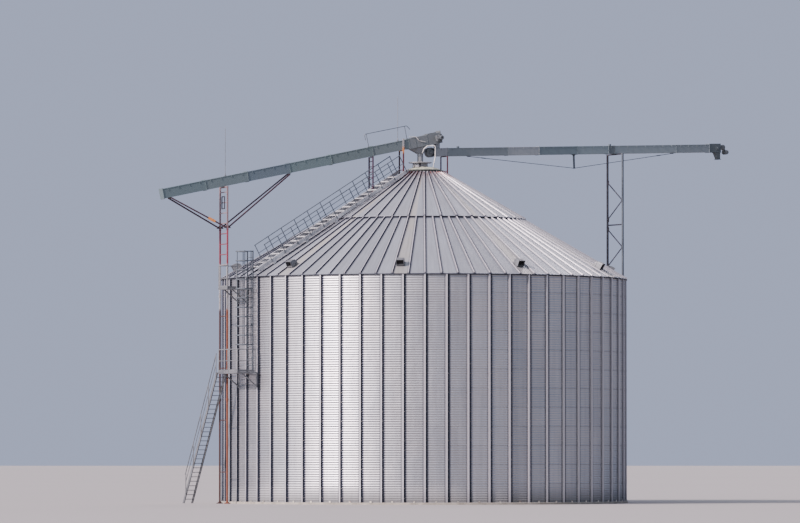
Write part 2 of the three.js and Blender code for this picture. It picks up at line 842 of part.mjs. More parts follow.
// A short rail over the end of the inclined conveyor, with its ends turned down.
function headRail() {
  const [first, last] = headRailEnds.map(inclinedLength);
  const top = troughHeight / 2 + seat;
  const y = troughWidth / 2 - 40;
  const rail = headRailHeight;
  const point = (x, z) => at(x, y, z);
  const r = headRailRadius;
  const body = join([
    tube(point(first, top), point(first, top + rail), r),
    tube(point(last + 60, top), point(last + 60, top + rail), r),
    tube(point(first + 90, top + rail), point(last - 50, top + rail), r),
    tube(point(first + 90, top + rail + r), point(first + 90, top + rail - 270), r),
    tube(point(last - 50, top + rail + r), point(last - 170, top + rail - 190), r),
    box(first - 50, first + 50, y - 30, y + 30, top, top + 12),
    box(last + 30, last + 90, y - 30, y + 30, top, top + 12),
  ]);
  return mesh('conveyor_guard_rail', body, finish.dullSteel);
}

// A lightning rod in a foot on top of the inclined conveyor.
function rodOnTrough(name, out, side, height) {
  const foot = inclinedAxis(out) + troughHalf;
  const body = join([
    tube(at(out, side, foot + 15), at(out, side, height), rodRadius),
    wedge((x, y, z) => {
      const corner = at(out + (x ? rodFootHalf : -rodFootHalf), side + (y ? rodFootHalf : -rodFootHalf), 0);
      return corner.setZ(inclinedAxis(corner.x) + troughHalf + (z ? 30 : seat));
    }),
  ]);
  return mesh(name, body, finish.dullSteel);
}

// Mast and its struts, in the frame of the inclined conveyor

function basePlate(out, side, half) {
  return box(out - half, out + half, side - half, side + half, 0, 20);
}

function mast() {
  const half = mastLeg / 2;
  const top = inclinedAxis(mastOut + half) - troughHalf - seat;
  const pieces = [-mastHalfWidth, mastHalfWidth].flatMap((side) => [
    box(mastOut - half, mastOut + half, side - half, side + half, 0, top),
    basePlate(mastOut, side, 120),
  ]);
  pieces.push(box(mastOut - half, mastOut + half, -mastHalfWidth, mastHalfWidth, top - mastLeg, top));
  const rungs = [...mastBars];
  for (let z = mastRungsFrom; z < top - mastRungPitch / 2; z += mastRungPitch) rungs.push(z);
  for (const z of rungs) {
    pieces.push(box(mastOut - 20, mastOut + 20, -mastHalfWidth, mastHalfWidth, z - 20, z + 20));
  }
  return mesh('conveyor_mast', join(pieces), finish.redOxide);
}

// Two struts from the mast's legs to a cross piece under the conveyor.
function strutPair(name, headOut, underside) {
  const half = strut / 2;
  const headHalf = strutHeads.halfWidth;
  const slack = mastLeg / 2 + seat;
  const top = Math.min(underside(headOut - half), underside(headOut + half)) - seat;
  const pieces = [box(headOut - half, headOut + half, -headHalf - half, headHalf + half, top - strut, top)];
  const legs = [];
  for (const side of [-1, 1]) {
    const foot = at(mastOut, side * mastHalfWidth, strutFoot);
    pieces.push(bar(foot, at(headOut, side * headHalf, top - half), strut, strut));
    legs.push(box(
      mastOut - slack, mastOut + slack,
      side * mastHalfWidth - slack, side * mastHalfWidth + slack,
      strutFoot - 400, strutFoot + 400,
    ));
  }
  return mesh(name, join(pieces).subtract(join(legs)), finish.redOxide);
}

// A plain ladder-like frame across a conveyor. Its legs are cut to the roof.
function crossFrame(name, frame) {
  const half = frameLeg / 2;
  const inset = frameRung / 2;
  const legs = [-frame.halfWidth, frame.halfWidth].map((side) => wedge((x, y, z) => {
    const corner = at(frame.out + (x ? half : -half), side + (y ? half : -half), 0);
    return corner.setZ(z ? frame.legTop(side) : frame.legFoot(corner, side));
  }));
  const rungs = frame.rungs.map((z) => box(
    frame.out - inset, frame.out + inset, -frame.halfWidth, frame.halfWidth, z - inset, z + inset,
  ));
  const body = join([...legs, ...rungs]).subtract(roofSpace(frame.bearing));
  return mesh(name, body, finish.redOxide);
}

const inclinedTurn = new THREE.Matrix4().makeRotationZ(rad(inclinedBearing));

function peakFrame() {
  const underTrough = inclinedAxis(peakFrameOut + frameLeg / 2) - troughHalf - seat - frameRung / 2 - 0.5;
  return crossFrame('peak_frame_left', {
    out: peakFrameOut,
    halfWidth: peakFrameHalfWidth,
    bearing: inclinedBearing,
    legFoot: intoRoof,
    legTop: (side) => (side > 0 ? inclinedAxis(peakFrameOut) + troughHalf + 60 : underTrough),
    rungs: [14960, underTrough],
  });
}

function ladderFrame() {
  const top = inclinedAxis(ladderFrameOut + frameLeg / 2) - flangeHalf - seat;
  const onStair = (corner) => {
    const world = corner.clone().applyMatrix4(inclinedTurn);
    return stairLine(world.applyMatrix4(accessTurn.clone().invert()).x, stringerHigh) + seat;
  };
  const rungs = [top - frameLeg / 2];
  for (let z = top - 200; z > 14550; z -= 240) rungs.push(z);
  return crossFrame('ladder_frame', {
    out: ladderFrameOut,
    halfWidth: ladderFrameHalfWidth,
    bearing: inclinedBearing,
    legFoot: (corner, side) => (side > 0 ? onStair(corner) : intoRoof(corner)),
    legTop: () => top,
    rungs,
  });
}

function rightFrame() {
  const top = levelAxis(rightFrameOut - frameLeg / 2) - levelHalf - seat;
  return crossFrame('peak_frame_right', {
    out: rightFrameOut,
    halfWidth: rightFrameHalfWidth,
    bearing: levelBearing,
    legFoot: intoRoof,
    legTop: () => top,
    rungs: [14950, top - frameRung / 2],
  });
}

// Level conveyor

function levelTrough() {
  const half = levelHeight / 2;
  const wide = levelWidth / 2;
  const pieces = [box(levelStart, levelEnd, -wide, wide, -half, half)];
  for (const x of levelJoints) {
    const high = x === levelEnd ? levelEnd : x + flangeWidth / 2;
    pieces.push(box(
      x - flangeWidth / 2, high, -wide - flangeProud, wide + flangeProud,
      -half - levelFlangeProud, half + levelFlangeProud,
    ));
  }
  return mesh('level_trough', join(pieces), finish.conveyor);
}

function levelTail() {
  const wide = tailWidth / 2;
  const body = join([
    tube(at(tailOut, -wide, 0), at(tailOut, wide, 0), tailRadius, 24),
    box(tailOut, levelStart - seat, -wide, wide, -levelHeight / 2, levelHeight / 2),
    tube(at(tailOut, wide, 0), at(tailOut, wide + 60, 0), tailHub, 12),
  ]);
  return mesh('level_tail', body, finish.machine);
}

function levelHead() {
  const low = -levelHeight / 2;
  const wide = levelWidth / 2;
  const start = levelEnd + seat;
  const end = levelEnd + driveHeadLength;
  const foot = low - outlet.drop;
  const chute = wedge((x, y, z) => {
    const out = z ? outlet.top : outlet.foot;
    const across = z ? wide - 20 : wide - 60;
    return at(levelEnd + out[x ? 1 : 0], y ? across : -across, z ? low : foot);
  });
  const [footStart, footEnd] = outlet.foot.map((out) => levelEnd + out);
  const body = join([
    box(start, end, -wide - 10, wide + 10, low - 10, -low + 30),
    box(start, start + 20, -wide - 25, wide + 25, low - 15, -low + 35),
    chute,
    box(footStart - 30, footEnd + 30, -wide + 20, wide - 20, foot - 15, foot + 10),
  ]);
  return mesh('level_head', body, finish.conveyor);
}

// Gearbox on the end of the level conveyor's head, with the motor hung below it.
function endDrive() {
  const end = levelEnd + driveHeadLength + seat;
  const round = ({ out, height, radius, half }) => tube(
    at(end + out, -half, height), at(end + out, half, height), radius, 20,
  );
  const arm = bar(
    at(end + driveGearbox.out, 0, driveGearbox.height),
    at(end + driveMotor.out, 0, driveMotor.height), 150, 90,
  );
  const body = join([
    box(end, end + driveGearbox.out, -90, 90, driveGearbox.height - 90, driveGearbox.height + 90),
    round(driveGearbox),
    round(driveMotor),
    arm,
  ]);
  return mesh('level_motor', body, finish.machine);
}

// Hanging king post with a tie rod each way under the level conveyor.
function kingTruss() {
  const under = -levelHeight / 2 - seat;
  const post = kingPostOut;
  const foot = at(post, 0, under - kingPostDrop + 20);
  const pieces = [
    box(post - 35, post + 35, -35, 35, under - kingPostDrop, under),
    box(post - 90, post + 90, -110, 110, under - 30, under),
  ];
  for (const x of tieEnds) {
    pieces.push(box(x - 90, x + 90, -60, 60, under - 30, under));
    pieces.push(tube(at(x, 0, under - 20), foot, tieRadius));
  }
  return mesh('king_post_truss', join(pieces), finish.dullSteel);
}

// Tall trestle across the level conveyor, with zigzag braces above each of its cross bars
function trestle() {
  const half = trestleLeg / 2;
  const thin = trestleBar / 2;
  const top = levelAxis(trestleOut - half) - levelHalf - seat;
  const crossBar = (z) => box(
    trestleOut - thin, trestleOut + thin, -trestleHalfWidth, trestleHalfWidth, z - thin, z + thin,
  );
  const pieces = [-trestleHalfWidth, trestleHalfWidth].flatMap((side) => [
    box(trestleOut - half, trestleOut + half, side - half, side + half, 0, top),
    basePlate(trestleOut, side, 130),
  ]);
  pieces.push(crossBar(top - thin));
  for (const z of trestleBars) {
    pieces.push(crossBar(z));
    const bays = z === trestleBars.at(-1) ? 2 : 3;
    for (let i = 0; i < bays; i += 1) {
      const side = (bays - i) % 2 ? -trestleHalfWidth : trestleHalfWidth;
      const low = z + braceFirst + i * braceRise;
      pieces.push(bar(at(trestleOut, side, low), at(trestleOut, -side, low + braceRise), trestleBrace));
    }
  }
  return mesh('conveyor_trestle', join(pieces), finish.dullSteel);
}

// Box that drops the feed from the inclined head into the level conveyor.
function transferChute() {
  const levelToInclined = new THREE.Matrix4().makeRotationZ(rad(levelBearing - inclinedBearing));
  const { from, to, half } = transferBox;
  const body = wedge((x, y, z) => {
    const corner = at(x ? to : from, y ? half : -half, 0);
    const overhead = inclinedAxis(corner.clone().applyMatrix4(levelToInclined).x) - flangeHalf - seat;
    return corner.setZ(z ? overhead : levelAxis(corner.x) + levelHalf + seat);
  });
  return mesh('transfer_box', body, finish.conveyor);
}

// Assembly

function turnedGroup(bearing, pieces) {
  const group = new THREE.Group();
  group.rotation.z = rad(bearing);
  group.add(...pieces);
  return group;
}

function tiltedGroup(height, slope, pieces) {
  const group = new THREE.Group();
  group.position.z = height;
  group.rotation.y = slope;
  group.add(...pieces);
  return group;
}

const silo = new THREE.Group();
silo.add(foundation());
quarters.forEach((name, i) => silo.add(wallQuarter(name, wallQuarterStart + 90 * i)));
for (const tier of tiers) {
  quarters.forEach((name, i) => silo.add(roofQuarter(name, roofQuarterStart + 90 * i, tier)));
}
silo.add(peakCollar());
for (let i = 0; i < ventCount; i += 1) silo.add(vent(i));

const inclinedUnder = (out) => inclinedAxis(out) - troughHalf;
silo.add(turnedGroup(inclinedBearing, [
  peakCap(),
  inletDrum(),
  inletSpout(),
  mast(),
  strutPair('strut_pair_inner', strutHeads.inner, () => inclinedAxis(strutHeads.inner + strut / 2) - flangeHalf),
  strutPair('strut_pair_outer', strutHeads.outer, inclinedUnder),
  peakFrame(),
  ladderFrame(),
  rodOnTrough('lightning_rod_mast', mastOut, 180, 16690),
  rodOnTrough('lightning_rod_peak', 1340, 150, 18270),
  tiltedGroup(inclinedAxisHeight, Math.atan(inclinedFall), [
    inclinedTrough(),
    inclinedHead(),
    headMotor(),
    headRail(),
  ]),
]));

silo.add(turnedGroup(levelBearing, [
  transferChute(),
  rightFrame(),
  trestle(),
  tiltedGroup(levelAxisHeight, -Math.atan(levelRise), [
    levelTrough(),
    levelTail(),
    levelHead(),
    endDrive(),
    kingTruss(),
  ]),
]));

silo.add(turnedGroup(accessBearing, [
  roofStair(),
  stairRail('roof_stair_rail_far', -1),
  stairRail('roof_stair_rail_near', 1),
  ladder(),
  ...cage(),
]));

silo.add(turnedGroup(platformBearing, [
  ...platforms(),
  accessStair(),
  accessRail(),
]));

export default silo;
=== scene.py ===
import math
from functools import partial

import bmesh
import bpy
from bpy.props import FloatProperty, FloatVectorProperty, IntProperty, PointerProperty
from bpy.types import Operator, Panel, PropertyGroup
from mathutils import Matrix, Vector


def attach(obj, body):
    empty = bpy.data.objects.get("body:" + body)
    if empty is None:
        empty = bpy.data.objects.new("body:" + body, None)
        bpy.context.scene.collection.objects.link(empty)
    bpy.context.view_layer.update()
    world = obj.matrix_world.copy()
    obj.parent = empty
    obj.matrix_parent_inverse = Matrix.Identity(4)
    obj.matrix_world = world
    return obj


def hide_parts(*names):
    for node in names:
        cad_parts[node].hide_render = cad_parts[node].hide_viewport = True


bl_info = {
    "name": "Feed silo",
    "version": (1, 0, 0),
    "blender": (4, 5, 0),
    "location": "View3D > Sidebar > Feed silo",
    "description": "Dresses the packed feed silo with its sheets, steelwork, conveyors and finishes",
    "category": "Add Mesh",
}

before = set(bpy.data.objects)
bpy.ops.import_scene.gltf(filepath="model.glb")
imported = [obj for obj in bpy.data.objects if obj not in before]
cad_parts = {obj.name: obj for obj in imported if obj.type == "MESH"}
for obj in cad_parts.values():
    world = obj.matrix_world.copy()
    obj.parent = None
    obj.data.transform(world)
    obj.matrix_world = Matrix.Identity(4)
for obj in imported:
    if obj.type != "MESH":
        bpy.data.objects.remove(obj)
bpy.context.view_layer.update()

UP = Vector((0, 0, 1))
ACROSS = Vector((0, 1, 0))
SIDES = (-1, 1)
QUARTERS = ("front_right", "back_right", "back_left", "front_left")

# What the CAD fixes, in metres and degrees. Azimuths run from the front towards the right, and bearings
# from the right towards the back.
GAP = 0.0003  # between parts that rest on each other
WALL_RADIUS = 9.05
WALL_LOW = 0.09
WALL_HIGH = 10.074
RING_HEIGHT = 0.832
RINGS = 12
STIFFENER_PITCH = 6.0
SHEET_ANGLE = 18.0
EAVE_RADIUS = 9.15
EAVE_TOP = 10.0346
ROOF_ANGLE = math.radians(30)
SLOPE = math.tan(ROOF_ANGLE)
PANEL = 4.5
TIER_RADIUS = 4.5
TIER_EDGE = 4.6  # the upper tier laps the lower one by 0.1
TIER_LIFT = 0.0727
PEAK_RADIUS = 0.8
VENT_RADIUS = 8.45
VENT_FIRST = -42.75
VENT_PITCH = 36
VENT_SHIFT = -0.06
VENTS = 10
INLET_OUT = 0.19
INCLINED_BEARING = 202
INCLINED_FALL = 0.21
INCLINED_HEIGHT = 16.307
INCLINED_UPRIGHT = math.hypot(1, INCLINED_FALL)  # length along the slope for each metre out
INCLINED_HALF = (0.22, 0.218)  # half the width and half the height
INCLINED_BELOW = 0.243  # from the axis to the underside of the head and flanges
HEAD_END = -0.754
HEAD_SHAFT = -0.59
MAST_OUT = 9.6
MAST_HALF = 0.475
MAST_LEG = 0.035
LEVEL_BEARING = 30
LEVEL_RISE = 0.0408
LEVEL_HEIGHT = 15.773
LEVEL_UPRIGHT = math.hypot(1, LEVEL_RISE)
LEVEL_HALF = (0.16, 0.185)
LEVEL_TAIL = 0.53
LEVEL_HEAD = 0.64
STAIR_BEARING = 214
STAIR_HALF = 0.35
STRINGER = (0.075, 0.245)  # underside and top, above the stair's line
STRINGER_HALF = 0.025
RAIL_OFF = 0.0173  # from a stringer's face to the middle of its rail
RAIL_TUBE = 0.02
KNEE_TUBE = 0.014
PLATFORM_BEARING = 208.5
DECK_INNER = 9.1148
DECK_OUTER = DECK_INNER + 1.02
DECK_FAR = -0.45
LOWER_DECK = 5.8
UPPER_DECK = 9.51


# Shapes

def polar(radius, azimuth, z):
    turn = math.radians(azimuth)
    return Vector((radius * math.sin(turn), -radius * math.cos(turn), z))


def facing(azimuth):
    """Turns a shape made at the front to stand at an azimuth."""
    return Matrix.Rotation(math.radians(azimuth), 4, "Z")


def bearing(degrees, height=0.0, slope=0.0):
    """The frame of a conveyor or stair: X runs out along it, sloped down by a fall in one."""
    return facing(degrees) @ Matrix.Translation((0, 0, height)) @ Matrix.Rotation(math.atan(slope), 4, "Y")


def roof_top(radius, lift=0.0):
    return EAVE_TOP + lift + (EAVE_RADIUS - radius) * SLOPE


def stair_line(out, above=0.0):
    return roof_top(out, TIER_LIFT) + above


def inclined_at(out, off=0.0):
    """Height over a point of what lies this far off the inclined conveyor's axis."""
    return INCLINED_HEIGHT - INCLINED_FALL * out + off * INCLINED_UPRIGHT


def level_at(out, off=0.0):
    return LEVEL_HEIGHT + LEVEL_RISE * out + off * LEVEL_UPRIGHT


def lay(start, end, sideways=UP):
    """Places a shape made along Z to run from start to end, with its Y towards sideways."""
    along = (end - start).normalized()
    side = (sideways if abs(along.dot(sideways)) < 0.99 else ACROSS).cross(along).normalized()
    return Matrix.Translation(start) @ Matrix((side, along.cross(side), along)).transposed().to_4x4()


def tube(radius, sides=10):
    """Outline of a tube or rod."""
    steps = [2 * math.pi * (i + 0.5) / sides for i in range(sides)]
    return [(radius * math.cos(t), radius * math.sin(t)) for t in steps]


def bar(width, depth, corner=0.0):
    """Outline of a bar, its corners cut by a small amount."""
    w, d, c = width / 2, depth / 2, corner
    if not c:
        return [(-w, -d), (w, -d), (w, d), (-w, d)]
    return [(-w + c, -d), (w - c, -d), (w, -d + c), (w, d - c), (w - c, d), (-w + c, d), (-w, d - c), (-w, -d + c)]


def rounded(points, radius, steps=4):
    """A path with each inner corner turned into an arc."""
    points = [Vector(p) for p in points]
    path = points[:1]
    for before, corner, after in zip(points, points[1:], points[2:]):
        back, on = (before - corner).normalized(), (after - corner).normalized()
        half = back.angle(on) / 2
        reach = min(radius / math.tan(half), (before - corner).length * 0.49, (after - corner).length * 0.49)
        bend = reach * math.tan(half)
        centre = corner + (back + on).normalized() * (bend / math.sin(half))
        start, end = corner + back * reach - centre, corner + on * reach - centre
        path += [centre + start.slerp(end, i / steps) * bend for i in range(steps + 1)]
    return path + points[-1:]


def sweep(bm, outline, points, sideways=UP):
    """Extrudes an outline along points, mitred at each bend and closed at both ends."""
    points = [Vector(p) for p in points]
    place = lay(points[0], points[1], Vector(sideways))
    face = bm.faces.new([bm.verts.new(place @ Vector((x, y, 0))) for x, y in outline])
    for i in range(1, len(points)):
        along = (points[i] - points[i - 1]).normalized()
        across = along
        if i + 1 < len(points):
            across = (along + (points[i + 1] - points[i]).normalized()).normalized()
        made = bmesh.ops.extrude_face_region(bm, geom=[face])
        if i > 1:
            bm.faces.remove(face)
        face = next(part for part in made["geom"] if isinstance(part, bmesh.types.BMFace))
        for vert in face.verts:
            vert.co += along * ((points[i] - vert.co).dot(across) / along.dot(across))


def bevel(bm, edges, width, segments=1):
    bmesh.ops.bevel(bm, geom=edges, offset=width, offset_type="OFFSET", affect="EDGES", segments=segments,
                    profile=0.5, material=-1, clamp_overlap=True)


def edges_of(verts):
    return list(dict.fromkeys(edge for vert in verts for edge in vert.link_edges))


def add_box(bm, low, high, edge=0.0):
    """A plate or housing between two corners, its edges cut by a small amount."""
    low, high = Vector(low), Vector(high)
    verts = bmesh.ops.create_cube(bm, size=1.0)["verts"]
    bmesh.ops.scale(bm, vec=high - low, verts=verts)
    bmesh.ops.translate(bm, vec=(low + high) / 2, verts=verts)
    if edge:
        bevel(bm, edges_of(verts), edge)


def add_pad(bm, middle, half, edge=0.0):
    """A plate or housing round its middle."""
    middle, half = Vector(middle), Vector(half)
    add_box(bm, middle - half, middle + half, edge)


def add_block(bm, corner, edge=0.0):
    """A box whose corners lie where corner(x, y, z) says, x, y and z being 0 or 1."""
    verts = bmesh.ops.create_cube(bm, size=1.0)["verts"]
    for vert in verts:
        vert.co = corner(*[round(c + 0.5) for c in vert.co])
    if edge:
        bevel(bm, edges_of(verts), edge)


def add_round(bm, start, end, radius, sides=24, far_radius=None, edge=0.0):
    """A shaft, drum or round cover between two points."""
    start, end = Vector(start), Vector(end)
    length = (end - start).length
    place = lay(start, end) @ Matrix.Translation((0, 0, length / 2))
    far = radius if far_radius is None else far_radius
    made = bmesh.ops.create_cone(bm, cap_ends=True, segments=sides, radius1=radius, radius2=far, depth=length,
                                 matrix=place)
    if edge:
        bevel(bm, [e for e in edges_of(made["verts"]) if any(len(f.verts) > 4 for f in e.link_faces)], edge, 2)


def add_drum(bm, centre, start, end, radius, sides=24, **more):
    """A round part that lies across a conveyor, from start to end off a centre."""
    add_round(bm, centre + ACROSS * start, centre + ACROSS * end, radius, sides, **more)


def spin_loop(bm, points, degrees, steps, centre=(0, 0, 0)):
    """Turns a closed loop of points about an upright axis."""
    verts = [bm.verts.new(point) for point in points]
    edges = [bm.edges.new(pair) for pair in zip(verts, verts[1:] + verts[:1])]
    bmesh.ops.spin(bm, geom=verts + edges, cent=centre, axis=UP, angle=math.radians(degrees), steps=steps,
                   use_merge=degrees == 360)


def add_spun(bm, profile, steps, centre):
    """A profile of (radius, z) points turned all the way round."""
    centre = Vector(centre)
    spin_loop(bm, [centre + Vector((r, 0, z)) for r, z in profile], 360, steps, centre)
    bmesh.ops.remove_doubles(bm, verts=bm.verts, dist=0.00001)


def add_sheet(bm, points, by):
    """A flat plate with this outline, made thick by a vector."""
    face = bm.faces.new([bm.verts.new(point) for point in points])
    made = bmesh.ops.extrude_face_region(bm, geom=[face])["geom"]
    bmesh.ops.translate(bm, vec=by, verts=[v for v in made if isinstance(v, bmesh.types.BMVert)])


def as_shape(bm, name):
    bmesh.ops.recalc_face_normals(bm, faces=bm.faces)
    shape = bpy.data.meshes.new(name)
    bm.to_mesh(shape)
    bm.free()
    return shape


def stamp(bm, shape, places):
    """Copies a small finished shape to each place."""
    for place in places:
        copy = shape.copy()
        copy.transform(place)
        bm.from_mesh(copy)
        bpy.data.meshes.remove(copy)


def bolt_shape(across, rise):
    """A hexagon head, stamped many times, so it has few faces."""
    bm = bmesh.new()
    bmesh.ops.create_cone(bm, cap_ends=True, segments=6, radius1=across * 0.577, radius2=across * 0.5,
                          depth=rise, matrix=Matrix.Translation((0, 0, rise / 2)))
    return as_shape(bm, "bolt")


def bolt_on(bm, head, points, outward):
    """Sets bolt heads on a face that looks outward."""
    outward = Vector(outward)
    stamp(bm, head, [lay(Vector(point), Vector(point) + outward) for point in points])


def bolt_ring(bm, head, centre, radius, side):
    """Six bolts round a shaft that lies across a conveyor."""
    turns = [math.radians(60 * k) for k in range(6)]
    bolt_on(bm, head, [centre + Vector((math.cos(t), 0, math.sin(t))) * radius for t in turns], ACROSS * side)


def make_piece(bm, name, material, slot, *replaces, place=None, smooth=32):
    """Puts a finished shape in the scene, riding on the silo."""
    if place:
        bmesh.ops.transform(bm, matrix=place, verts=bm.verts)
    shape = as_shape(bm, name)
    shape.shade_smooth()
    shape.set_sharp_from_angle(angle=math.radians(smooth))
    shape.materials.append(material)
    piece = bpy.data.objects.new(name, shape)
    bpy.context.scene.collection.objects.link(piece)
    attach(piece, "root")
    if replaces:
        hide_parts(*replaces)


def make_row(shape, places, *piece):
    """A piece made of copies of one shape."""
    bm = bmesh.new()
    stamp(bm, shape, places)
    make_piece(bm, *piece)


# Finishes

def linear(code):
    """An sRGB hex colour as the linear values that the shader's sockets hold."""
    parts = [int(code[i:i + 2], 16) / 255 for i in (0, 2, 4)]
    return tuple(c / 12.92 if c <= 0.04045 else ((c + 0.055) / 1.055) ** 2.4 for c in parts) + (1.0,)


def add_node(tree, kind, *values, **named):
    """Adds a node with its settings and links, and gives its first output.

    The kind may be followed by its operation, colour type or number of dimensions. Values go into the
    sockets in order. A name with a capital is a socket, and any other is a setting.
    """
    kind, _, mode = kind.partition(" ")
    node = tree.nodes.new("ShaderNode" + kind)
    if mode:
        setattr(node, {"Mix": "data_type", "TexWhiteNoise": "noise_dimensions"}.get(kind, "operation"), mode)
    links = list(zip([socket for socket in node.inputs if socket.enabled], values))
    for name, value in named.items():
        if name.islower():
            setattr(node, name, value)
        else:
            links.append((node.inputs[name.replace("_", " ")], value))
    for socket, value in links:
        if isinstance(value, bpy.types.NodeSocket):
            tree.links.new(value, socket)
        else:
            socket.default_value = value
    return next((socket for socket in node.outputs if socket.enabled), None)


def finish(name, metallic, roughness):
    """Marks the recipe of a finish, which is carried out the first time that the finish is asked for.

    A recipe gets add, the object's own coordinates and the colours, and gives what the shader's sockets
    hold besides their plain numbers.
    """
    def marked(recipe):
        def made(*details, name=name):
            material = bpy.data.materials.get(name)
            if not material:
                material = bpy.data.materials.new(name)
                material.use_nodes = True
                material.node_tree.nodes.clear()
                add = partial(add_node, material.node_tree)
                coords = add("TexCoord").node.outputs["Object"]
                look = recipe(add, coords, bpy.context.scene.silo_finishes, *details)
                add("OutputMaterial", add("BsdfPrincipled", **{"Metallic": metallic, "Roughness": roughness, **look}))
            return material
        return made
    return marked


def azimuth_and_height(add, coords):
    x, y, z = add("SeparateXYZ", coords).node.outputs
    return add("Math ARCTAN2", x, add("Math MULTIPLY", y, -1.0)), z


def radius_of(add, coords):
    return add("VectorMath LENGTH", add("VectorMath MULTIPLY", coords, (1.0, 1.0, 0.0)))


def sheet_tint(add, azimuth, level, sheet_angle):
    """A random value for each sheet of each course, the courses laid half a sheet apart."""
    ring = add("Math FLOOR", level)
    turns = add("Math DIVIDE", azimuth, math.radians(sheet_angle))
    sheet = add("Math FLOOR", add("Math ADD", turns, add("Math MULTIPLY", ring, 0.5)))
    return add("TexWhiteNoise 3D", add("CombineXYZ", sheet, ring))


def beside(add, azimuth, radius, pitch):
    """Signed distance in metres round the silo from the nearest stiffener or rib, to the right of it."""
    turns = add("Math DIVIDE", azimuth, pitch)
    off = add("Math SUBTRACT", turns, add("Math ROUND", turns))
    return add("Math MULTIPLY", add("Math MULTIPLY", off, pitch), radius)


def painted_shade_beside(add, across, right, left):
    """Amount of painted shade beside a stiffener or rib; each side is given as (start, end, from, to)."""
    amounts = []
    for fading, turned in ((right, 1.0), (left, -1.0)):
        away = add("Math MULTIPLY", across, turned)
        fade = add("MapRange", away, *fading)
        amounts.append(add("Math MULTIPLY", fade, add("Math GREATER_THAN", away, 0.0)))
    return add("Math MAXIMUM", *amounts)


@finish("galvanised_wall_sheet", 0.85, 0.42)
def wall_zinc(add, coords, colours):
    """Hot-dip galvanised wall sheet: silvery grey with a soft sheen that varies sheet by sheet."""
    azimuth, z = azimuth_and_height(add, coords)
    level = add("Math DIVIDE", add("Math SUBTRACT", z, WALL_LOW), RING_HEIGHT)
    tint = sheet_tint(add, azimuth, level, SHEET_ANGLE)
    # Rain streaks, 60 to 150 mm apart round the wall and metres long
    streak_at = add("CombineXYZ", add("Math MULTIPLY", azimuth, WALL_RADIUS), add("Math MULTIPLY", z, 0.06))
    streak = add("TexNoise", streak_at, Scale=5.0, Detail=4.0, Roughness=0.6)
    # Zinc spangle, really 10 mm flowers, drawn twice as coarse so that it shows close by
    spangle = add("TexVoronoi", coords, Scale=45.0)
    # Sheets between the same two stiffeners are of one batch
    bay = add("Math FLOOR", add("Math DIVIDE", azimuth, math.radians(STIFFENER_PITCH)))
    tone = add("MapRange", tint, To_Min=0.97, To_Max=1.03)
    for part in (add("MapRange", streak, 0.35, 0.75, 1.04, 0.88),
                 add("MapRange", spangle, To_Min=1.03, To_Max=0.95),
                 add("MapRange", add("TexWhiteNoise 1D", bay), To_Min=0.92, To_Max=1.1)):
        tone = add("Math MULTIPLY", tone, part)
    cloud = add("TexNoise", coords, Scale=0.55, Detail=3.0, Roughness=0.55)
    colour = add("VectorMath SCALE", add("Mix RGBA", cloud, colours.sheet, colours.sheet_cool), tone)
    # A painted shadow line just under each lap, drawn in the grime colour, and real grime at the foot of the wall
    lap = add("MapRange", add("Math FRACT", level), 0.955, 0.99, 0.0, 1.0)
    lap_shadow_and_foot_grime = add("Math MAXIMUM", add("Math MULTIPLY", lap, 0.35), add("MapRange", z, 0.1, 0.9, 0.5, 0.0))
    colour = add("Mix RGBA", lap_shadow_and_foot_grime, colour, colours.grime)
    # Painted shade beside each stiffener, wider and darker on its right where its shadow falls, and painted shade under
    # the eave
    across = beside(add, azimuth, WALL_RADIUS, math.radians(STIFFENER_PITCH))
    dust = painted_shade_beside(add, across, (0.1, 0.19, 1.0, 0.0), (0.078, 0.13, 0.7, 0.0))
    dust = add("Math MAXIMUM", dust, add("MapRange", z, 9.9, 10.02, 0.0, 0.85))
    ripple = add("TexNoise", coords, Scale=1.1, Detail=2.0)
    return {"Base_Color": add("Mix RGBA", dust, colour, colours.painted_shade),
            "Roughness": add("Math ADD", add("MapRange", tint, To_Min=0.4, To_Max=0.43), lap_shadow_and_foot_grime, use_clamp=True),
            "Normal": add("Bump", Height=ripple, Strength=0.35, Distance=0.05)}


@finish("rolled_zinc_stiffener", 0.5, 0.36)
def rolled_zinc(add, coords, colours, pitch, crown):
    """Roll-formed galvanised section, such as a wall stiffener: bright crown, with painted shade on its flanks."""
    azimuth, z = azimuth_and_height(add, coords)
    radius = radius_of(add, coords)
    cloud = add("TexNoise", add("Mapping", coords, Scale=(1.0, 1.0, 0.12)), Scale=3.0, Detail=4.0)
    spangle = add("MapRange", add("TexVoronoi", coords, Scale=60.0), To_Min=0.0, To_Max=0.25)
    blend = add("Math MULTIPLY_ADD", cloud, spangle, 0.1)
    across = beside(add, azimuth, radius, math.radians(pitch))
    # Painted shade on the flanks and flanges outside the crown, full on the right side and lighter on the left
    dust = painted_shade_beside(add, across, (crown, crown + 0.006, 0.0, 1.0), (crown, crown + 0.008, 0.0, 0.6))
    # Rib tops rust where the collar drips on them
    near_peak = add("MapRange", radius, 0.95, 1.5, 1.0, 0.0)
    rust = add("Math MULTIPLY", near_peak, add("MapRange", cloud, 0.4, 0.55))
    colour = colours.section
    for amount, over in ((blend, colours.sheet_cool), (add("MapRange", z, 0.1, 0.7, 0.45, 0.0), colours.grime),
                         (dust, colours.painted_shade), (rust, colours.rust)):
        colour = add("Mix RGBA", amount, colour, over)
    grain = add("TexNoise", coords, Scale=30.0, Detail=2.0)
    return {"Base_Color": colour, "Roughness": add("MapRange", cloud, To_Min=0.28, To_Max=0.46),
            "Normal": add("Bump", Height=grain, Strength=0.12, Distance=0.004)}


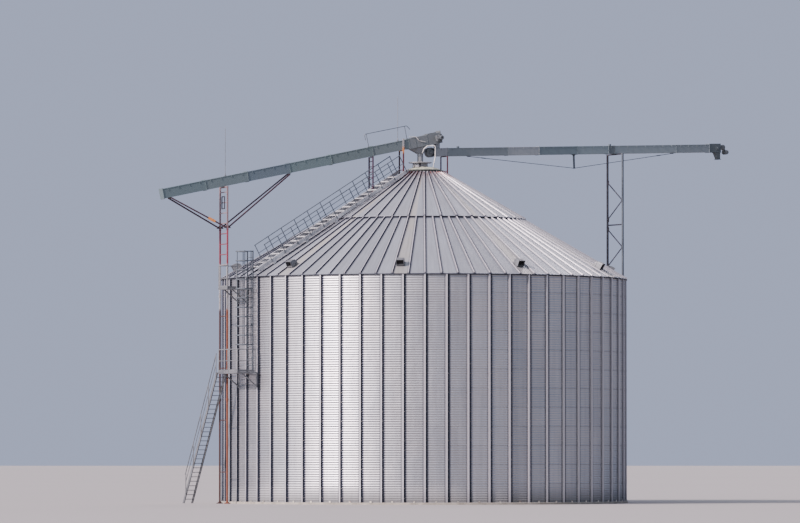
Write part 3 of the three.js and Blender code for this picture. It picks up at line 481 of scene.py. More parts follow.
@finish("weathered_zinc_roof_panel", 0.5, 0.46)
def roof_zinc(add, coords, colours):
    """Galvanised roof panel, weathered duller than the wall, some panels creamier than others."""
    azimuth, z = azimuth_and_height(add, coords)
    radius = radius_of(add, coords)
    level = add("Math DIVIDE", add("Math SUBTRACT", z, EAVE_TOP - 3.0), 5.686)
    panel_tone = add("MapRange", sheet_tint(add, azimuth, level, PANEL), To_Min=0.86, To_Max=1.12)
    # Dirt runs straight down the slope in bands a few centimetres wide
    run_at = add("CombineXYZ", add("Math MULTIPLY", azimuth, 30.0), add("Math MULTIPLY", radius, 0.25))
    runs = add("TexNoise", run_at, Scale=2.6, Detail=5.0, Roughness=0.62)
    tone = add("Math MULTIPLY", panel_tone, add("MapRange", runs, 0.3, 0.75, 1.06, 0.82))
    # The panels that carry vents were fitted later and are creamier
    first = add("Math ADD", azimuth, math.radians(PANEL / 2 - VENT_FIRST))
    part = add("Math FRACT", add("Math DIVIDE", first, math.radians(VENT_PITCH)))
    colour = add("Mix RGBA", add("Math LESS_THAN", part, PANEL / VENT_PITCH), colours.roof, colours.roof_cream)
    cloud = add("TexNoise", coords, Scale=0.8, Detail=3.0)
    colour = add("VectorMath SCALE", add("Mix RGBA", cloud, colour, colours.sheet_cool), tone)
    # Red rust runs from the collar bolts and lies at the rib tops
    rust = add("Math MULTIPLY", add("MapRange", radius, 0.9, 2.6, 1.0, 0.0), add("MapRange", runs, 0.46, 0.6))
    rust = add("Math MULTIPLY", rust, 0.85)
    # Painted shade on the eave's lip, and a painted shadow on the lower tier just under the upper tier's edge
    lip = add("MapRange", z, 10.026, 10.034, 0.85, 0.0)
    upper = add("Math GREATER_THAN", z, 12.72)
    edge = add("MapRange", radius, TIER_EDGE + 0.02, TIER_EDGE + 0.13, 0.95, 0.0)
    edge = add("Math MULTIPLY", edge, add("Math SUBTRACT", 1.0, upper))
    # Painted shade along the foot of each rib, wider and darker on its right where its shadow falls; the upper tier has
    # half as many ribs
    pitch = add("Math MULTIPLY_ADD", upper, math.radians(PANEL), math.radians(PANEL))
    dust = painted_shade_beside(add, beside(add, azimuth, radius, pitch), (0.055, 0.13, 1.0, 0.0), (0.05, 0.08, 0.6, 0.0))
    # Rust, then the painted shade of the lip, the tier edge and the ribs
    for amount, dirt in ((rust, colours.rust), (lip, colours.painted_shade), (edge, colours.painted_shade), (dust, colours.painted_shade)):
        colour = add("Mix RGBA", amount, colour, dirt)
    dents = add("TexNoise", coords, Scale=2.2, Detail=2.0)
    return {"Base_Color": colour, "Roughness": add("MapRange", runs, To_Min=0.38, To_Max=0.58),
            "Normal": add("Bump", Height=dents, Strength=0.3, Distance=0.02)}


@finish("zinc_plated_bolts", 0.9, 0.4)
def plated_bolt(add, coords, colours):
    """Zinc-plated bolt heads: small, bright and a little yellowed."""
    spots = add("MapRange", add("TexNoise", coords, Scale=9.0, Detail=3.0), 0.52, 0.68)
    return {"Base_Color": add("Mix RGBA", spots, colours.bolt, colours.rust)}


@finish("dull_galvanised_walkway_steel", 0.45, 0.55)
def walkway_zinc(add, coords, colours, pale="walkway", deep="walkway_dark"):
    """Hot-dip galvanised walkway steel, thick and mottled."""
    mottle = add("TexNoise", coords, Scale=14.0, Detail=5.0, Roughness=0.65)
    both = add("Math MULTIPLY", mottle, add("TexNoise", coords, Scale=1.3, Detail=2.0))
    amount = add("MapRange", both, 0.12, 0.42)
    return {"Base_Color": add("Mix RGBA", amount, getattr(colours, pale), getattr(colours, deep)),
            "Roughness": add("MapRange", mottle, To_Min=0.45, To_Max=0.68),
            "Normal": add("Bump", Height=mottle, Strength=0.2, Distance=0.002)}


def weathered_zinc():
    """Walkway steel of ladders, cages and rails: the same thick zinc, darkened by weather."""
    return walkway_zinc("ladder", "ladder_dark", name="weathered_galvanised_walkway_steel")


@finish("conveyor_casing", 0.45, 0.55)
def casing_zinc(add, coords, colours, tones, joints, degrees):
    """Conveyor casing, galvanised and weathered to green-grey or blue-grey; each section has its own tone."""
    turned = add("Mapping", coords, Rotation=(0, 0, -math.radians(degrees)))
    out = add("SeparateXYZ", turned)
    colour = linear(tones[0])
    for joint, tone in zip(joints, tones[1:]):
        colour = add("Mix RGBA", add("Math GREATER_THAN", out, joint), colour, linear(tone))
    streak_at = add("Mapping", turned, Scale=(1.0, 1.0, 0.25))
    streak = add("TexNoise", streak_at, Scale=9.0, Detail=5.0, Roughness=0.6)
    dents = add("TexNoise", coords, Scale=3.0, Detail=2.0)
    return {"Base_Color": add("Mix RGBA", add("MapRange", streak, 0.5, 0.85, 0.0, 0.22), colour, colours.grime),
            "Roughness": add("MapRange", streak, To_Min=0.42, To_Max=0.66),
            "Normal": add("Bump", Height=dents, Strength=0.25, Distance=0.012)}


@finish("grey_machine_enamel", 0.0, 0.42)
def machine_enamel(add, coords, colours):
    """Grey machine enamel on gear motors and bearings: satin, with oily dust."""
    dust = add("TexNoise", coords, Scale=12.0, Detail=5.0)
    amount = add("MapRange", dust, 0.45, 0.75, 0.0, 0.6)
    return {"Base_Color": add("Mix RGBA", amount, colours.machine, colours.grime),
            "Roughness": add("MapRange", dust, To_Min=0.34, To_Max=0.62)}


@finish("dark_violet_grey_painted_steel", 0.1, 0.5)
def dark_paint_and_shade(add, coords, colours):
    """Old steel under dark grey-violet paint, worn to grey in patches; also laid as painted shade on the trestle's left
    leg and on the vent screens.
    """
    wear = add("TexNoise", coords, Scale=8.0, Detail=5.0, Roughness=0.65)
    amount = add("MapRange", wear, 0.54, 0.72, 0.0, 0.35)
    return {"Base_Color": add("Mix RGBA", amount, colours.frame_dark_and_shade, colours.walkway),
            "Roughness": add("MapRange", wear, To_Min=0.4, To_Max=0.7)}


@finish("brushed_paint", 0.0, 0.62)
def mast_paint(add, coords, colours, first, *bands):
    """Brush-painted steel, repainted from given heights up, chipped to rust."""
    wear = add("TexNoise", coords, Scale=7.0, Detail=6.0, Roughness=0.7)
    colour = getattr(colours, first)
    if bands:
        ragged = add("Math MULTIPLY_ADD", wear, 0.35, add("SeparateXYZ", coords).node.outputs["Z"])
    for height, above in bands:
        over = add("MapRange", ragged, height + 0.1, height + 0.24)
        colour = add("Mix RGBA", over, colour, getattr(colours, above))
    return {"Base_Color": add("Mix RGBA", add("MapRange", wear, 0.56, 0.66, 0.0, 0.8), colour, colours.rust),
            "Roughness": add("MapRange", wear, To_Min=0.5, To_Max=0.8),
            "Normal": add("Bump", Height=wear, Strength=0.25, Distance=0.003)}


@finish("peak_enamel", 0.2, 0.5)
def peak_enamel(add, coords, colours, tone, dirt="grime"):
    """Painted peak fittings: dusty enamel, rusting in spots where feed dust holds moisture."""
    dust = add("TexNoise", coords, Scale=6.0, Detail=6.0, Roughness=0.65)
    amount = add("MapRange", dust, 0.42, 0.62, 0.0, 0.7)
    spots = add("MapRange", dust, 0.64, 0.72, 0.0, 0.8)
    dusty = add("Mix RGBA", amount, getattr(colours, tone), getattr(colours, dirt))
    return {"Base_Color": add("Mix RGBA", spots, dusty, colours.rust),
            "Roughness": add("MapRange", dust, To_Min=0.38, To_Max=0.7),
            "Normal": add("Bump", Height=dust, Strength=0.15, Distance=0.004)}


@finish("weathered_cast_concrete", 0.0, 0.9)
def weathered_concrete(add, coords, colours):
    """Cast concrete: matt, with 5 to 20 mm stones showing between water stains."""
    stain = add("TexNoise", coords, Scale=2.5, Detail=6.0, Roughness=0.6)
    both = add("Math MULTIPLY_ADD", add("TexVoronoi", coords, Scale=55.0), 0.35, stain)
    return {"Base_Color": add("Mix RGBA", add("MapRange", both, 0.4, 0.9), colours.concrete, colours.concrete_damp),
            "Normal": add("Bump", Height=both, Strength=0.5, Distance=0.006)}


@finish("dusty_dark_duct_inside", 0.2, 0.85)
def painted_shade_in_vent_mouth(add, coords, colours):
    """Painted shade standing in for the unlit inside of a vent, behind its screen: near-black dusty steel."""
    dust = add("TexNoise", coords, Scale=20.0, Detail=3.0)
    return {"Base_Color": add("Mix RGBA", dust, colours.duct, colours.duct_dust)}


@finish("matt_studio_floor", 0.0, 0.85)
def studio_floor(add, coords, colours):
    """A matt painted floor with very broad, faint clouds."""
    cloud = add("TexNoise", coords, Scale=0.02, Detail=2.0)
    return {"Base_Color": add("Mix RGBA", cloud, colours.floor, colours.floor_cloud)}


# Sizes and colours that can be changed

def swatch(name, description, code):
    return FloatVectorProperty(name=name, description=description, subtype="COLOR", size=4, min=0, max=1,
                               default=linear(code))


def metres(name, description, default, least, most):
    return FloatProperty(name=name, description=description, default=default, min=least, max=most,
                         subtype="DISTANCE", unit="LENGTH")


class FinishColours(PropertyGroup):
    """Colours of the silo's finishes and of the stage"""

    sheet: swatch("Wall sheet", "Galvanised wall sheet", "aeacad")
    sheet_cool: swatch("Cooler zinc", "Bluer clouds in the zinc", "989fa7")
    section: swatch("Stiffener", "Rolled galvanised stiffeners and ribs", "c6c4c8")
    roof: swatch("Roof panel", "Weathered zinc of the roof", "8c9095")
    roof_cream: swatch("Creamy roof panel", "Panels that weathered warmer", "aaa597")
    bolt: swatch("Bolt", "Zinc-plated bolt heads", "c2beb2")
    grime: swatch("Grime", "Dust and algae on the steel", "5c5e57")
    # Painted shade: the dark colour laid beside ribs and stiffeners, under the eave, on the eave's lip and under the
    # upper tier's edge
    painted_shade: swatch("Damp dust", "Dark damp dust beside ribs and stiffeners", "2b303c")
    rust: swatch("Rust", "Red rust", "5a2a22")
    walkway: swatch("Walkway steel", "Dull galvanised decks and platform rails", "777b7e")
    walkway_dark: swatch("Walkway steel, dark", "Dark mottle of the walkway steel", "505457")
    # Painted light: paler zinc that stands in for the light on the roof stair
    stair: swatch("Stair steel", "Paler zinc of the roof stair", "d3d6d8")
    ladder: swatch("Ladder steel", "Weathered ladders, cage and guard rails", "5c646a")
    ladder_dark: swatch("Ladder steel, dark", "Dark mottle of the ladder steel", "3b434a")
    machine: swatch("Machine enamel", "Gear motors and bearings", "4a5156")
    dark_red: swatch("Dark red", "Older purplish red paint of the struts", "301a22")
    primer: swatch("Grey primer", "Pale grey band of the mast", "828384")
    orange_red: swatch("Orange red", "Brighter paint low on the mast", "6e3f2c")
    brown_red: swatch("Brown red", "Dark paint low on the mast's left leg", "331b16")
    crimson: swatch("Crimson", "Deep red high on the mast's left leg and rungs", "66242f")
    rose: swatch("Rose red", "Sunned red on the mast's right leg", "7a3340")
    faded: swatch("Faded red", "Red paint bleached near the mast's top", "6e5c5f")
    frame_red: swatch("Frame red", "Red paint of the small frames", "4a1f27")
    frame_purple: swatch("Frame purple", "Purple-black paint of the frame under the conveyor", "3a2636")
    # Also used as painted shade on the trestle's left leg and on the vent screens
    frame_dark_and_shade: swatch("Frame dark", "Dark violet-grey paint of frames and trestle", "171721")
    flame: swatch("Flame orange", "Bright paint of a frame leg and the strut clamp", "b47640")
    collar: swatch("Peak collar", "Dark green-grey peak collar", "47504d")
    cap: swatch("Peak cap", "Greenish cream cap", "b9bda9")
    drum: swatch("Inlet drum", "Grey enamel of the inlet drum", "8e9196")
    spout: swatch("Spout", "Grey enamel of the spout and its hopper", "71777d")
    conduit: swatch("Conduit", "Pale plastic of the conduits at the peak", "c9cac6")
    concrete: swatch("Concrete", "Foundation slab", "a29e94")
    concrete_damp: swatch("Damp concrete", "Stains on the foundation", "6e6a60")
    duct: swatch("Duct", "Unlit inside of the vents", "0f1011")
    duct_dust: swatch("Duct dust", "Dust inside the vents", "24231f")
    floor: swatch("Floor", "Studio floor", "908e8c")
    floor_cloud: swatch("Floor clouds", "Faint broad clouds of the floor", "8a8886")
    surround: swatch("Surround", "Studio surround", "acb5d2")


class SiloSizes(PropertyGroup):
    """Details of the silo's wall and roof"""

    corrugation: metres("Corrugation pitch", "Height of one wave of the wall sheets", 0.104, 0.05, 0.3)
    wave: metres("Corrugation depth", "Depth of the waves", 0.0165, 0.004, 0.03)
    wall_steps: IntProperty(name="Wall steps", description="Straight lengths in a quarter of the wall", default=60,
                            min=30, max=90)
    seam_bolts: FloatProperty(name="Seam bolts", description="Angle between bolts along a lap of the wall",
                              default=math.radians(1.5), min=0.01, max=0.2, subtype="ANGLE")
    bolt_pitch: metres("Stiffener bolts", "Distance between bolts up a stiffener", 0.416, 0.1, 1.0)
    rib_bolt_pitch: metres("Rib bolts", "Distance between bolts along a roof rib", 0.4, 0.1, 1.0)
    lip: metres("Eave lip", "Depth of the turned-down edge of the roof", 0.03, 0.01, 0.06)


class SteelSizes(PropertyGroup):
    """Details of the conveyors, walkways and rails"""

    lid_lip: metres("Lid lip", "Turned-down edge of the conveyor lids", 0.03, 0.01, 0.08)
    clip_pitch: metres("Lid clips", "Distance between clips of the conveyor lids", 0.5, 0.2, 1.5)
    tube_sides: IntProperty(name="Tube sides", description="Sides of a round rail", default=10, min=6, max=24)
    grating: metres("Grating pitch", "Distance between the bars of a grating", 0.04, 0.02, 0.1)


# Foundation, wall and roof

class SILO_OT_foundation(Operator):
    """Foundation slab with its anchor clips"""

    bl_idname = "silo.foundation"
    bl_label = "Foundation"

    def execute(self, context):
        bm = bmesh.new()
        hub, near_hub = 0.5, 0.6
        add_spun(bm, [(hub, 0.0), (EAVE_RADIUS, 0.0), (EAVE_RADIUS, 0.078), (EAVE_RADIUS - 0.012, WALL_LOW),
                      (hub, WALL_LOW)], 120, (0, 0, 0))
        for level in (0.0, WALL_LOW):
            rim = [e for e in bm.edges
                   if all(abs(v.co.z - level) < 0.001 and v.co.xy.length < near_hub for v in e.verts)]
            bmesh.ops.holes_fill(bm, edges=rim, sides=0)
        inside = [f for f in bm.faces if all(v.co.xy.length < near_hub for v in f.verts) and abs(f.normal.z) < 0.5]
        bmesh.ops.delete(bm, geom=inside, context="FACES_ONLY")
        make_piece(bm, "foundation_slab", weathered_concrete(), "concrete", "foundation")
        bm = bmesh.new()
        sweep(bm, [(-0.03, 0), (0.035, 0), (0.035, 0.006), (-0.024, 0.006), (-0.024, 0.07), (-0.03, 0.07)],
              [(-0.04, -9.09, WALL_LOW), (0.04, -9.09, WALL_LOW)])
        add_round(bm, (0, -9.105, 0.096), (0, -9.105, 0.125), 0.011, 6)
        make_row(as_shape(bm, "anchor_clip"), [facing(3 + STIFFENER_PITCH * i) for i in range(60)], "anchor_clips",
                 plated_bolt(), "galvanised")
        return {"FINISHED"}


class SILO_OT_wall(Operator):
    """Corrugated wall sheets, their stiffeners and bolts"""

    bl_idname = "silo.wall"
    bl_label = "Wall"

    def execute(self, context):
        sizes = context.scene.silo_sizes
        for i, quarter in enumerate(QUARTERS):
            self.sheets(sizes, quarter, 3 + 90 * i)
        column = self.stiffener()
        paint = rolled_zinc(STIFFENER_PITCH, 0.022)
        for i, quarter in enumerate(QUARTERS):
            make_row(column, [facing(6 + 90 * i + STIFFENER_PITCH * k) for k in range(15)],
                     f"wall_stiffeners_{quarter}", paint, "galvanised", f"wall_{quarter}")
        self.bolts(sizes)
        return {"FINISHED"}

    def sheets(self, sizes, quarter, start):
        """A quarter of the wall: the corrugated profile turned about the silo's axis."""
        rise = WALL_HIGH - WALL_LOW
        wave_points = 6
        points = wave_points * round(rise / sizes.corrugation)
        profile = []
        for k in range(points + 1):
            dip = sizes.wave * (0.5 - 0.5 * math.cos(2 * math.pi * k / wave_points))
            profile.append((WALL_RADIUS + 0.004 - dip, WALL_LOW + rise * k / points))
        profile += [(WALL_RADIUS - 0.02, WALL_HIGH), (WALL_RADIUS - 0.02, WALL_LOW)]
        gap = math.degrees(GAP / 2 / WALL_RADIUS)
        bm = bmesh.new()
        spin_loop(bm, [polar(r, start + gap, z) for r, z in profile], 90 - 2 * gap, sizes.wall_steps)
        bmesh.ops.holes_fill(bm, edges=[e for e in bm.edges if e.is_boundary], sides=0)
        make_piece(bm, f"wall_sheets_{quarter}", wall_zinc(), "galvanised", f"wall_{quarter}")

    def stiffener(self):
        """One stiffener at the front, in ring lengths joined by sleeves."""
        bm = bmesh.new()
        hat = [(-0.078, 0), (-0.078, 0.008), (-0.054, 0.009), (-0.04, 0.056), (-0.031, 0.0645),
               (0.031, 0.0645), (0.04, 0.056), (0.054, 0.009), (0.078, 0.008), (0.078, 0)]
        sleeve = [(x * 1.03, y * 1.02 + 0.0015) for x, y in hat]
        for ring in range(RINGS):
            middle = WALL_LOW + RING_HEIGHT * ring
            low = middle + (0.002 if ring else 0)
            high = min(middle + RING_HEIGHT - 0.002, WALL_HIGH - 0.07)
            sweep(bm, hat, [(0, -WALL_RADIUS, low), (0, -WALL_RADIUS, high)], -ACROSS)
            if ring:
                sweep(bm, sleeve, [(0, -WALL_RADIUS, middle - 0.07), (0, -WALL_RADIUS, middle + 0.07)], -ACROSS)
        return as_shape(bm, "stiffener")

    def bolts(self, sizes):
        head = bolt_shape(0.02, 0.012)
        bm = bmesh.new()
        levels = [WALL_LOW + 0.2 + sizes.bolt_pitch * k
                  for k in range(int((WALL_HIGH - WALL_LOW - 0.1) / sizes.bolt_pitch))]
        bolt_on(bm, head, [(side * 0.066, -WALL_RADIUS - 0.007, z) for z in levels for side in SIDES], -ACROSS)
        make_row(as_shape(bm, "stiffener_bolts"), [facing(STIFFENER_PITCH * k) for k in range(60)],
                 "wall_stiffener_bolts", plated_bolt(), "galvanised")
        bm = bmesh.new()
        laps = [WALL_LOW + RING_HEIGHT * ring for ring in range(1, RINGS)]
        bolt_on(bm, head, [(0, -WALL_RADIUS - 0.003, z) for z in laps], -ACROSS)
        # No seam bolt lies under a stiffener
        count = round(2 * math.pi / sizes.seam_bolts)
        half = STIFFENER_PITCH / 2
        clear = [a for a in (360 / count * k for k in range(count)) if abs((a + half) % STIFFENER_PITCH - half) > 1.0]
        make_row(as_shape(bm, "seam_bolts"), [facing(a) for a in clear], "wall_seam_bolts", plated_bolt(),
                 "galvanised")


class SILO_OT_roof(Operator):
    """Roof panels in two tiers, their ribs and bolts"""

    bl_idname = "silo.roof"
    bl_label = "Roof"

    def execute(self, context):
        sizes = context.scene.silo_sizes
        for name, outer, inner, rib_end, lift, every in (
                ("lower_roof", EAVE_RADIUS, TIER_RADIUS, TIER_RADIUS, 0.0, 1),
                ("upper_roof", TIER_EDGE, PEAK_RADIUS, 0.93, TIER_LIFT, 2)):
            for i, quarter in enumerate(QUARTERS):
                lip = sizes.lip if every == 1 else sizes.lip * 0.5 + 0.014
                self.panels(f"{name}_panels_{quarter}", f"{name}_{quarter}", (outer, inner, lift, lip),
                            PANEL / 2 + 90 * i)
            self.ribs(sizes, name, outer, rib_end, lift, every)
        return {"FINISHED"}

    def panels(self, name, node, tier, start):
        """A quarter of a tier, spun a panel too wide and cut square at both ends."""
        outer, inner, lift, lip = tier
        thick, fold, turned = 0.014, 0.006, 21
        low, high = roof_top(outer, lift), roof_top(inner, lift)
        profile = [(outer, low), (inner, high), (inner, high - thick), (outer - fold, low - thick),
                   (outer - fold, low - lip), (outer, low - lip)]
        bm = bmesh.new()
        spin_loop(bm, [polar(r, start - PANEL / 2, z) for r, z in profile], PANEL * turned, turned)
        for azimuth, side in ((start, -1), (start + 90, 1)):
            across = polar(1, azimuth + 90, 0) * side
            made = bmesh.ops.bisect_plane(bm, geom=bm.verts[:] + bm.edges[:] + bm.faces[:],
                                          plane_co=across * (-GAP / 2), plane_no=across, clear_outer=True)
            cut = [e for e in made["geom_cut"] if isinstance(e, bmesh.types.BMEdge)]
            bmesh.ops.holes_fill(bm, edges=cut, sides=0)
        make_piece(bm, name, roof_zinc(), "roofing", node, smooth=20)

    def ribs(self, sizes, name, outer, inner, lift, every):
        hat = [(-0.05, -0.004), (-0.05, 0.003), (-0.034, 0.004), (-0.021, 0.042), (-0.014, 0.049),
               (0.014, 0.049), (0.021, 0.042), (0.034, 0.004), (0.05, 0.003), (0.05, -0.004)]
        low = Vector((0, -outer + 0.031, roof_top(outer - 0.031, lift)))
        high = Vector((0, -inner, roof_top(inner, lift)))
        along = (high - low).normalized()
        bm = bmesh.new()
        sweep(bm, hat, [low, high])
        sweep(bm, [(x * 1.06, y * 1.06) for x, y in hat], [low - along * 0.003, low + along * 0.05])
        rib = as_shape(bm, "rib")
        bm = bmesh.new()
        out = Vector((0, -math.sin(ROOF_ANGLE), math.cos(ROOF_ANGLE)))
        points = [low + along * (0.12 + sizes.rib_bolt_pitch * k) + out * 0.002
                  for k in range(int((high - low).length / sizes.rib_bolt_pitch))]
        bolt_on(bm, bolt_shape(0.016, 0.009), [p + Vector((side * 0.043, 0, 0)) for p in points for side in SIDES], out)
        bolts = as_shape(bm, "rib_bolts")
        step = PANEL * every
        paint = rolled_zinc(step, 0.014, name=f"rolled_zinc_{name}_rib")
        for i, quarter in enumerate(QUARTERS):
            turns = [facing(PANEL + 90 * i + PANEL * k) for k in range(20) if every == 1 or k % 2]
            make_row(rib, turns, f"{name}_ribs_{quarter}", paint, "roofing", f"{name}_{quarter}")
        make_row(bolts, [facing(step * k) for k in range(round(360 / step))], f"{name}_bolts", plated_bolt(),
                 "roofing")


class SILO_OT_vents(Operator):
    """Gooseneck roof vents with screened mouths"""

    bl_idname = "silo.vents"
    bl_label = "Roof vents"

    def execute(self, context):
        # The duct panel is near-black painted shade in each hood's mouth, and the screen takes the dark paint as
        # painted shade too
        parts = (("hood", self.hood(), walkway_zinc()), ("duct", self.inside(), painted_shade_in_vent_mouth()),
                 ("screen", self.screen(), dark_paint_and_shade()), ("bolts", self.base_bolts(), plated_bolt()))
        # A vent stands on the flat between two ribs
        flat = math.cos(math.radians(PANEL / 2))
        tilt = Matrix.Rotation(math.atan(SLOPE / flat), 4, "Y")
        for i in range(VENTS):
            azimuth = VENT_FIRST + VENT_PITCH * i
            point = polar(VENT_RADIUS, azimuth, roof_top(VENT_RADIUS / flat) + GAP) + polar(VENT_SHIFT, azimuth + 90, 0)
            place = Matrix.Translation(point) @ facing(azimuth - 90) @ tilt
            for part, shape, material in parts:
                make_row(shape, [place], f"roof_vent_{i + 1}_{part}", material, "galvanised", f"roof_vent_{i + 1}")
        return {"FINISHED"}

    def hood(self):
        """Hood folded from sheet, open down the slope, on a flanged foot."""
        bm = bmesh.new()
        outline = [(-0.19, 0.0), (-0.19, 0.15), (-0.172, 0.198), (-0.14, 0.24), (-0.103, 0.274), (-0.06, 0.3),
                   (0.0, 0.316), (0.06, 0.325), (0.135, 0.328), (0.21, 0.33), (0.21, 0.07), (0.15, 0.0)]
        half, depth = 0.16, 0.16
        add_sheet(bm, [(x, -half, z) for x, z in outline], (0, 2 * half, 0))
        bmesh.ops.recalc_face_normals(bm, faces=bm.faces)
        bevel(bm, [e for e in bm.edges if abs(e.verts[0].co.y - e.verts[1].co.y) < 0.001
                   and min(v.co.z for v in e.verts) > 0.14], 0.012, 2)
        mouth = max(bm.faces, key=lambda f: f.calc_center_median().x)
        bmesh.ops.inset_region(bm, faces=[mouth], thickness=0.012, depth=0.0)
        made = bmesh.ops.extrude_face_region(bm, geom=[mouth])["geom"]
        bm.faces.remove(mouth)
        bmesh.ops.translate(bm, vec=(-depth, 0, 0), verts=[v for v in made if isinstance(v, bmesh.types.BMVert)])
        for y in (-half, half):
            sweep(bm, bar(0.012, 0.012, 0.003), [(0.203, y * 0.98, 0.07), (0.203, y * 0.98, 0.328)])
            sweep(bm, bar(0.004, 0.012), [(-0.06, y * 1.01, 0.02), (-0.06, y * 1.01, 0.29)])
        add_box(bm, (-0.215, -0.185, 0.0), (0.19, 0.185, 0.008), 0.002)
        return as_shape(bm, "vent_hood")

    def inside(self):
        bm = bmesh.new()
        # A near-black panel set inside the hood's mouth as painted shade
        add_box(bm, (0.052, -0.147, 0.084), (0.057, 0.147, 0.314))
        return as_shape(bm, "vent_duct")

    def screen(self):
        """Bird screen of welded wire, drawn as 4 mm wires 50 mm apart."""
        bm = bmesh.new()
        wire, mesh = bar(0.004, 0.004), 0.05
        for k in range(6):
            y = -0.125 + mesh * k
            sweep(bm, wire, [(0.18, y, 0.082), (0.18, y, 0.318)])
        for k in range(4):
            z = 0.125 + mesh * k
            sweep(bm, wire, [(0.184, -0.148, z), (0.184, 0.148, z)])
        return as_shape(bm, "vent_screen")

    def base_bolts(self):
        bm = bmesh.new()
        points = [(x, side * 0.173, 0.008) for x in (-0.2, -0.07, 0.05, 0.17) for side in SIDES]
        bolt_on(bm, bolt_shape(0.016, 0.009), points, UP)
        return as_shape(bm, "vent_bolts")


class SILO_OT_peak(Operator):
    """Peak collar, cap, inlet drum and spout"""

    bl_idname = "silo.peak"
    bl_label = "Peak fittings"

    def execute(self, context):
        place = bearing(INCLINED_BEARING)
        low = roof_top(PEAK_RADIUS, TIER_LIFT) + GAP
        bm = bmesh.new()
        add_spun(bm, [(0.70, -0.09), (0.785, -0.09), (0.785, 0), (0.893, 0), (0.9, 0.004), (0.9, 0.016),
                      (0.893, 0.021), (0.88, 0.023), (0.77, 0.058), (0.755, 0.062), (0.70, 0.062)], 80, (0, 0, low))
        make_piece(bm, "peak_collar_ring", peak_enamel("collar", name="green_grey_peak_enamel"), "peak_steel",
                   "peak_collar")
        low += 0.062 + GAP
        bm = bmesh.new()
        add_spun(bm, [(0.71, 0), (0.74, 0), (0.741, 0.012), (0.73, 0.018), (0.66, 0.045), (0.58, 0.074),
                      (0.5, 0.098), (0.45, 0.109), (0.38, 0.114), (0.3, 0.115), (0.1, 0.115), (0.1, 0.1),
                      (0.43, 0.1)], 60, (0, 0, low))
        make_piece(bm, "peak_cap_dome", peak_enamel("cap", "collar", name="cream_peak_enamel"), "peak_steel",
                   "peak_cap")
        low += 0.115 + GAP
        bm = bmesh.new()
        add_spun(bm, [(0.095, 0), (0.37, 0), (0.372, 0.012), (0.345, 0.014), (0.34, 0.18), (0.515, 0.181),
                      (0.525, 0.19), (0.525, 0.212), (0.515, 0.221), (0.14, 0.221), (0.095, 0.221)], 48,
                 (INLET_OUT, 0, low))
        add_box(bm, (0.13, -0.4, low), (0.25, 0.4, low + 0.04), 0.006)
        self.ring_bolts(bm, bolt_shape(0.024, 0.014), 24, 0.48, low + 0.221)
        make_piece(bm, "inlet_drum_flanged", peak_enamel("drum", name="dark_drum_enamel"), "peak_steel",
                   "inlet_drum", place=place)
        self.spout(low + 0.221 + GAP, place)
        # A dark junction box on the drum, and the pale rigid conduit that climbs from the cap to the hopper
        bm = bmesh.new()
        add_box(bm, (-0.235, -0.452, low + 0.004), (-0.145, -0.38, low + 0.176), 0.004)
        make_piece(bm, "drum_junction_box", dark_paint_and_shade(), "peak_steel")
        bm = bmesh.new()
        riser = [(0.41, -0.4, low - 0.02), (0.5, -0.4, 15.55), (0.51, -0.4, 16.06), (0.16, -0.4, 16.06),
                 (0.0, -0.36, 15.92), (-0.075, -0.3, 15.74), (-0.075, -0.13, 15.72)]
        lead = [(-0.66, -0.53, 16.46), (-0.36, -0.425, 16.45), (-0.21, -0.365, 16.28), (0.06, -0.258, 16.235)]
        sweep(bm, tube(0.022, 12), rounded(riser, 0.07), ACROSS)
        sweep(bm, tube(0.016), rounded(lead, 0.06), ACROSS)
        make_piece(bm, "peak_conduits", peak_enamel("conduit", "walkway", name="pale_grey_conduit_plastic"),
                   "peak_steel")
        return {"FINISHED"}

    def ring_bolts(self, bm, head, count, radius, z):
        centre = Matrix.Translation((INLET_OUT, 0, z))
        stamp(bm, head, [centre @ facing(360 / count * k) @ Matrix.Translation((0, -radius, 0)) for k in range(count)])

    def spout(self, low, place):
        """Round pipe with a flange, widening in a hopper under the inclined conveyor."""
        bm = bmesh.new()
        top, hopper_foot = 15.72, 15.7
        add_spun(bm, [(0.095, low), (0.155, low), (0.16, low + 0.005), (0.16, low + 0.017), (0.155, low + 0.02),
                      (0.138, low + 0.022), (0.135, low + 0.03), (0.135, top), (0.095, top)], 32, (INLET_OUT, 0, 0))

        def funnel(x, y, z):
            out = ((0.08, 0.315), (-0.04, 0.69))[z][x]
            half = (0.11, 0.2)[z]
            return Vector((out, (-half, half)[y], inclined_at(out, -INCLINED_BELOW) - GAP if z else hopper_foot))

        add_block(bm, funnel, 0.006)
        for at in (0.12, 0.93):
            def band(x, y, z, at=at):
                point = funnel(x, y, 0).lerp(funnel(x, y, 1), at + (0, 0.05)[z])
                return point + Vector(((-0.012, 0.012)[x], (-0.012, 0.012)[y], 0))
            add_block(bm, band, 0.003)
        self.ring_bolts(bm, bolt_shape(0.02, 0.012), 8, 0.14, low + 0.02)
        make_piece(bm, "inlet_spout_hopper", peak_enamel("spout", name="pale_spout_enamel"), "peak_steel",
                   "inlet_spout", place=place)


# Conveyors

INCLINED_JOINTS = (0.8, 2.57, 4.56, 6.55, 8.54, 10.53, 12.52)
INCLINED_TONES = ("6a7173", "647072", "5e6c6d", "607173", "5b6a72", "627174", "5c6d71")
LEVEL_JOINTS = (1.16, 4.34, 5.99, 8.06, 9.73, 10.06, 13.43, 15.26)
LEVEL_TONES = ("858b8f", "727c80", "8c9397", "65747a", "78868b", "5a6469", "7a868b", "727d82", "4c565b")


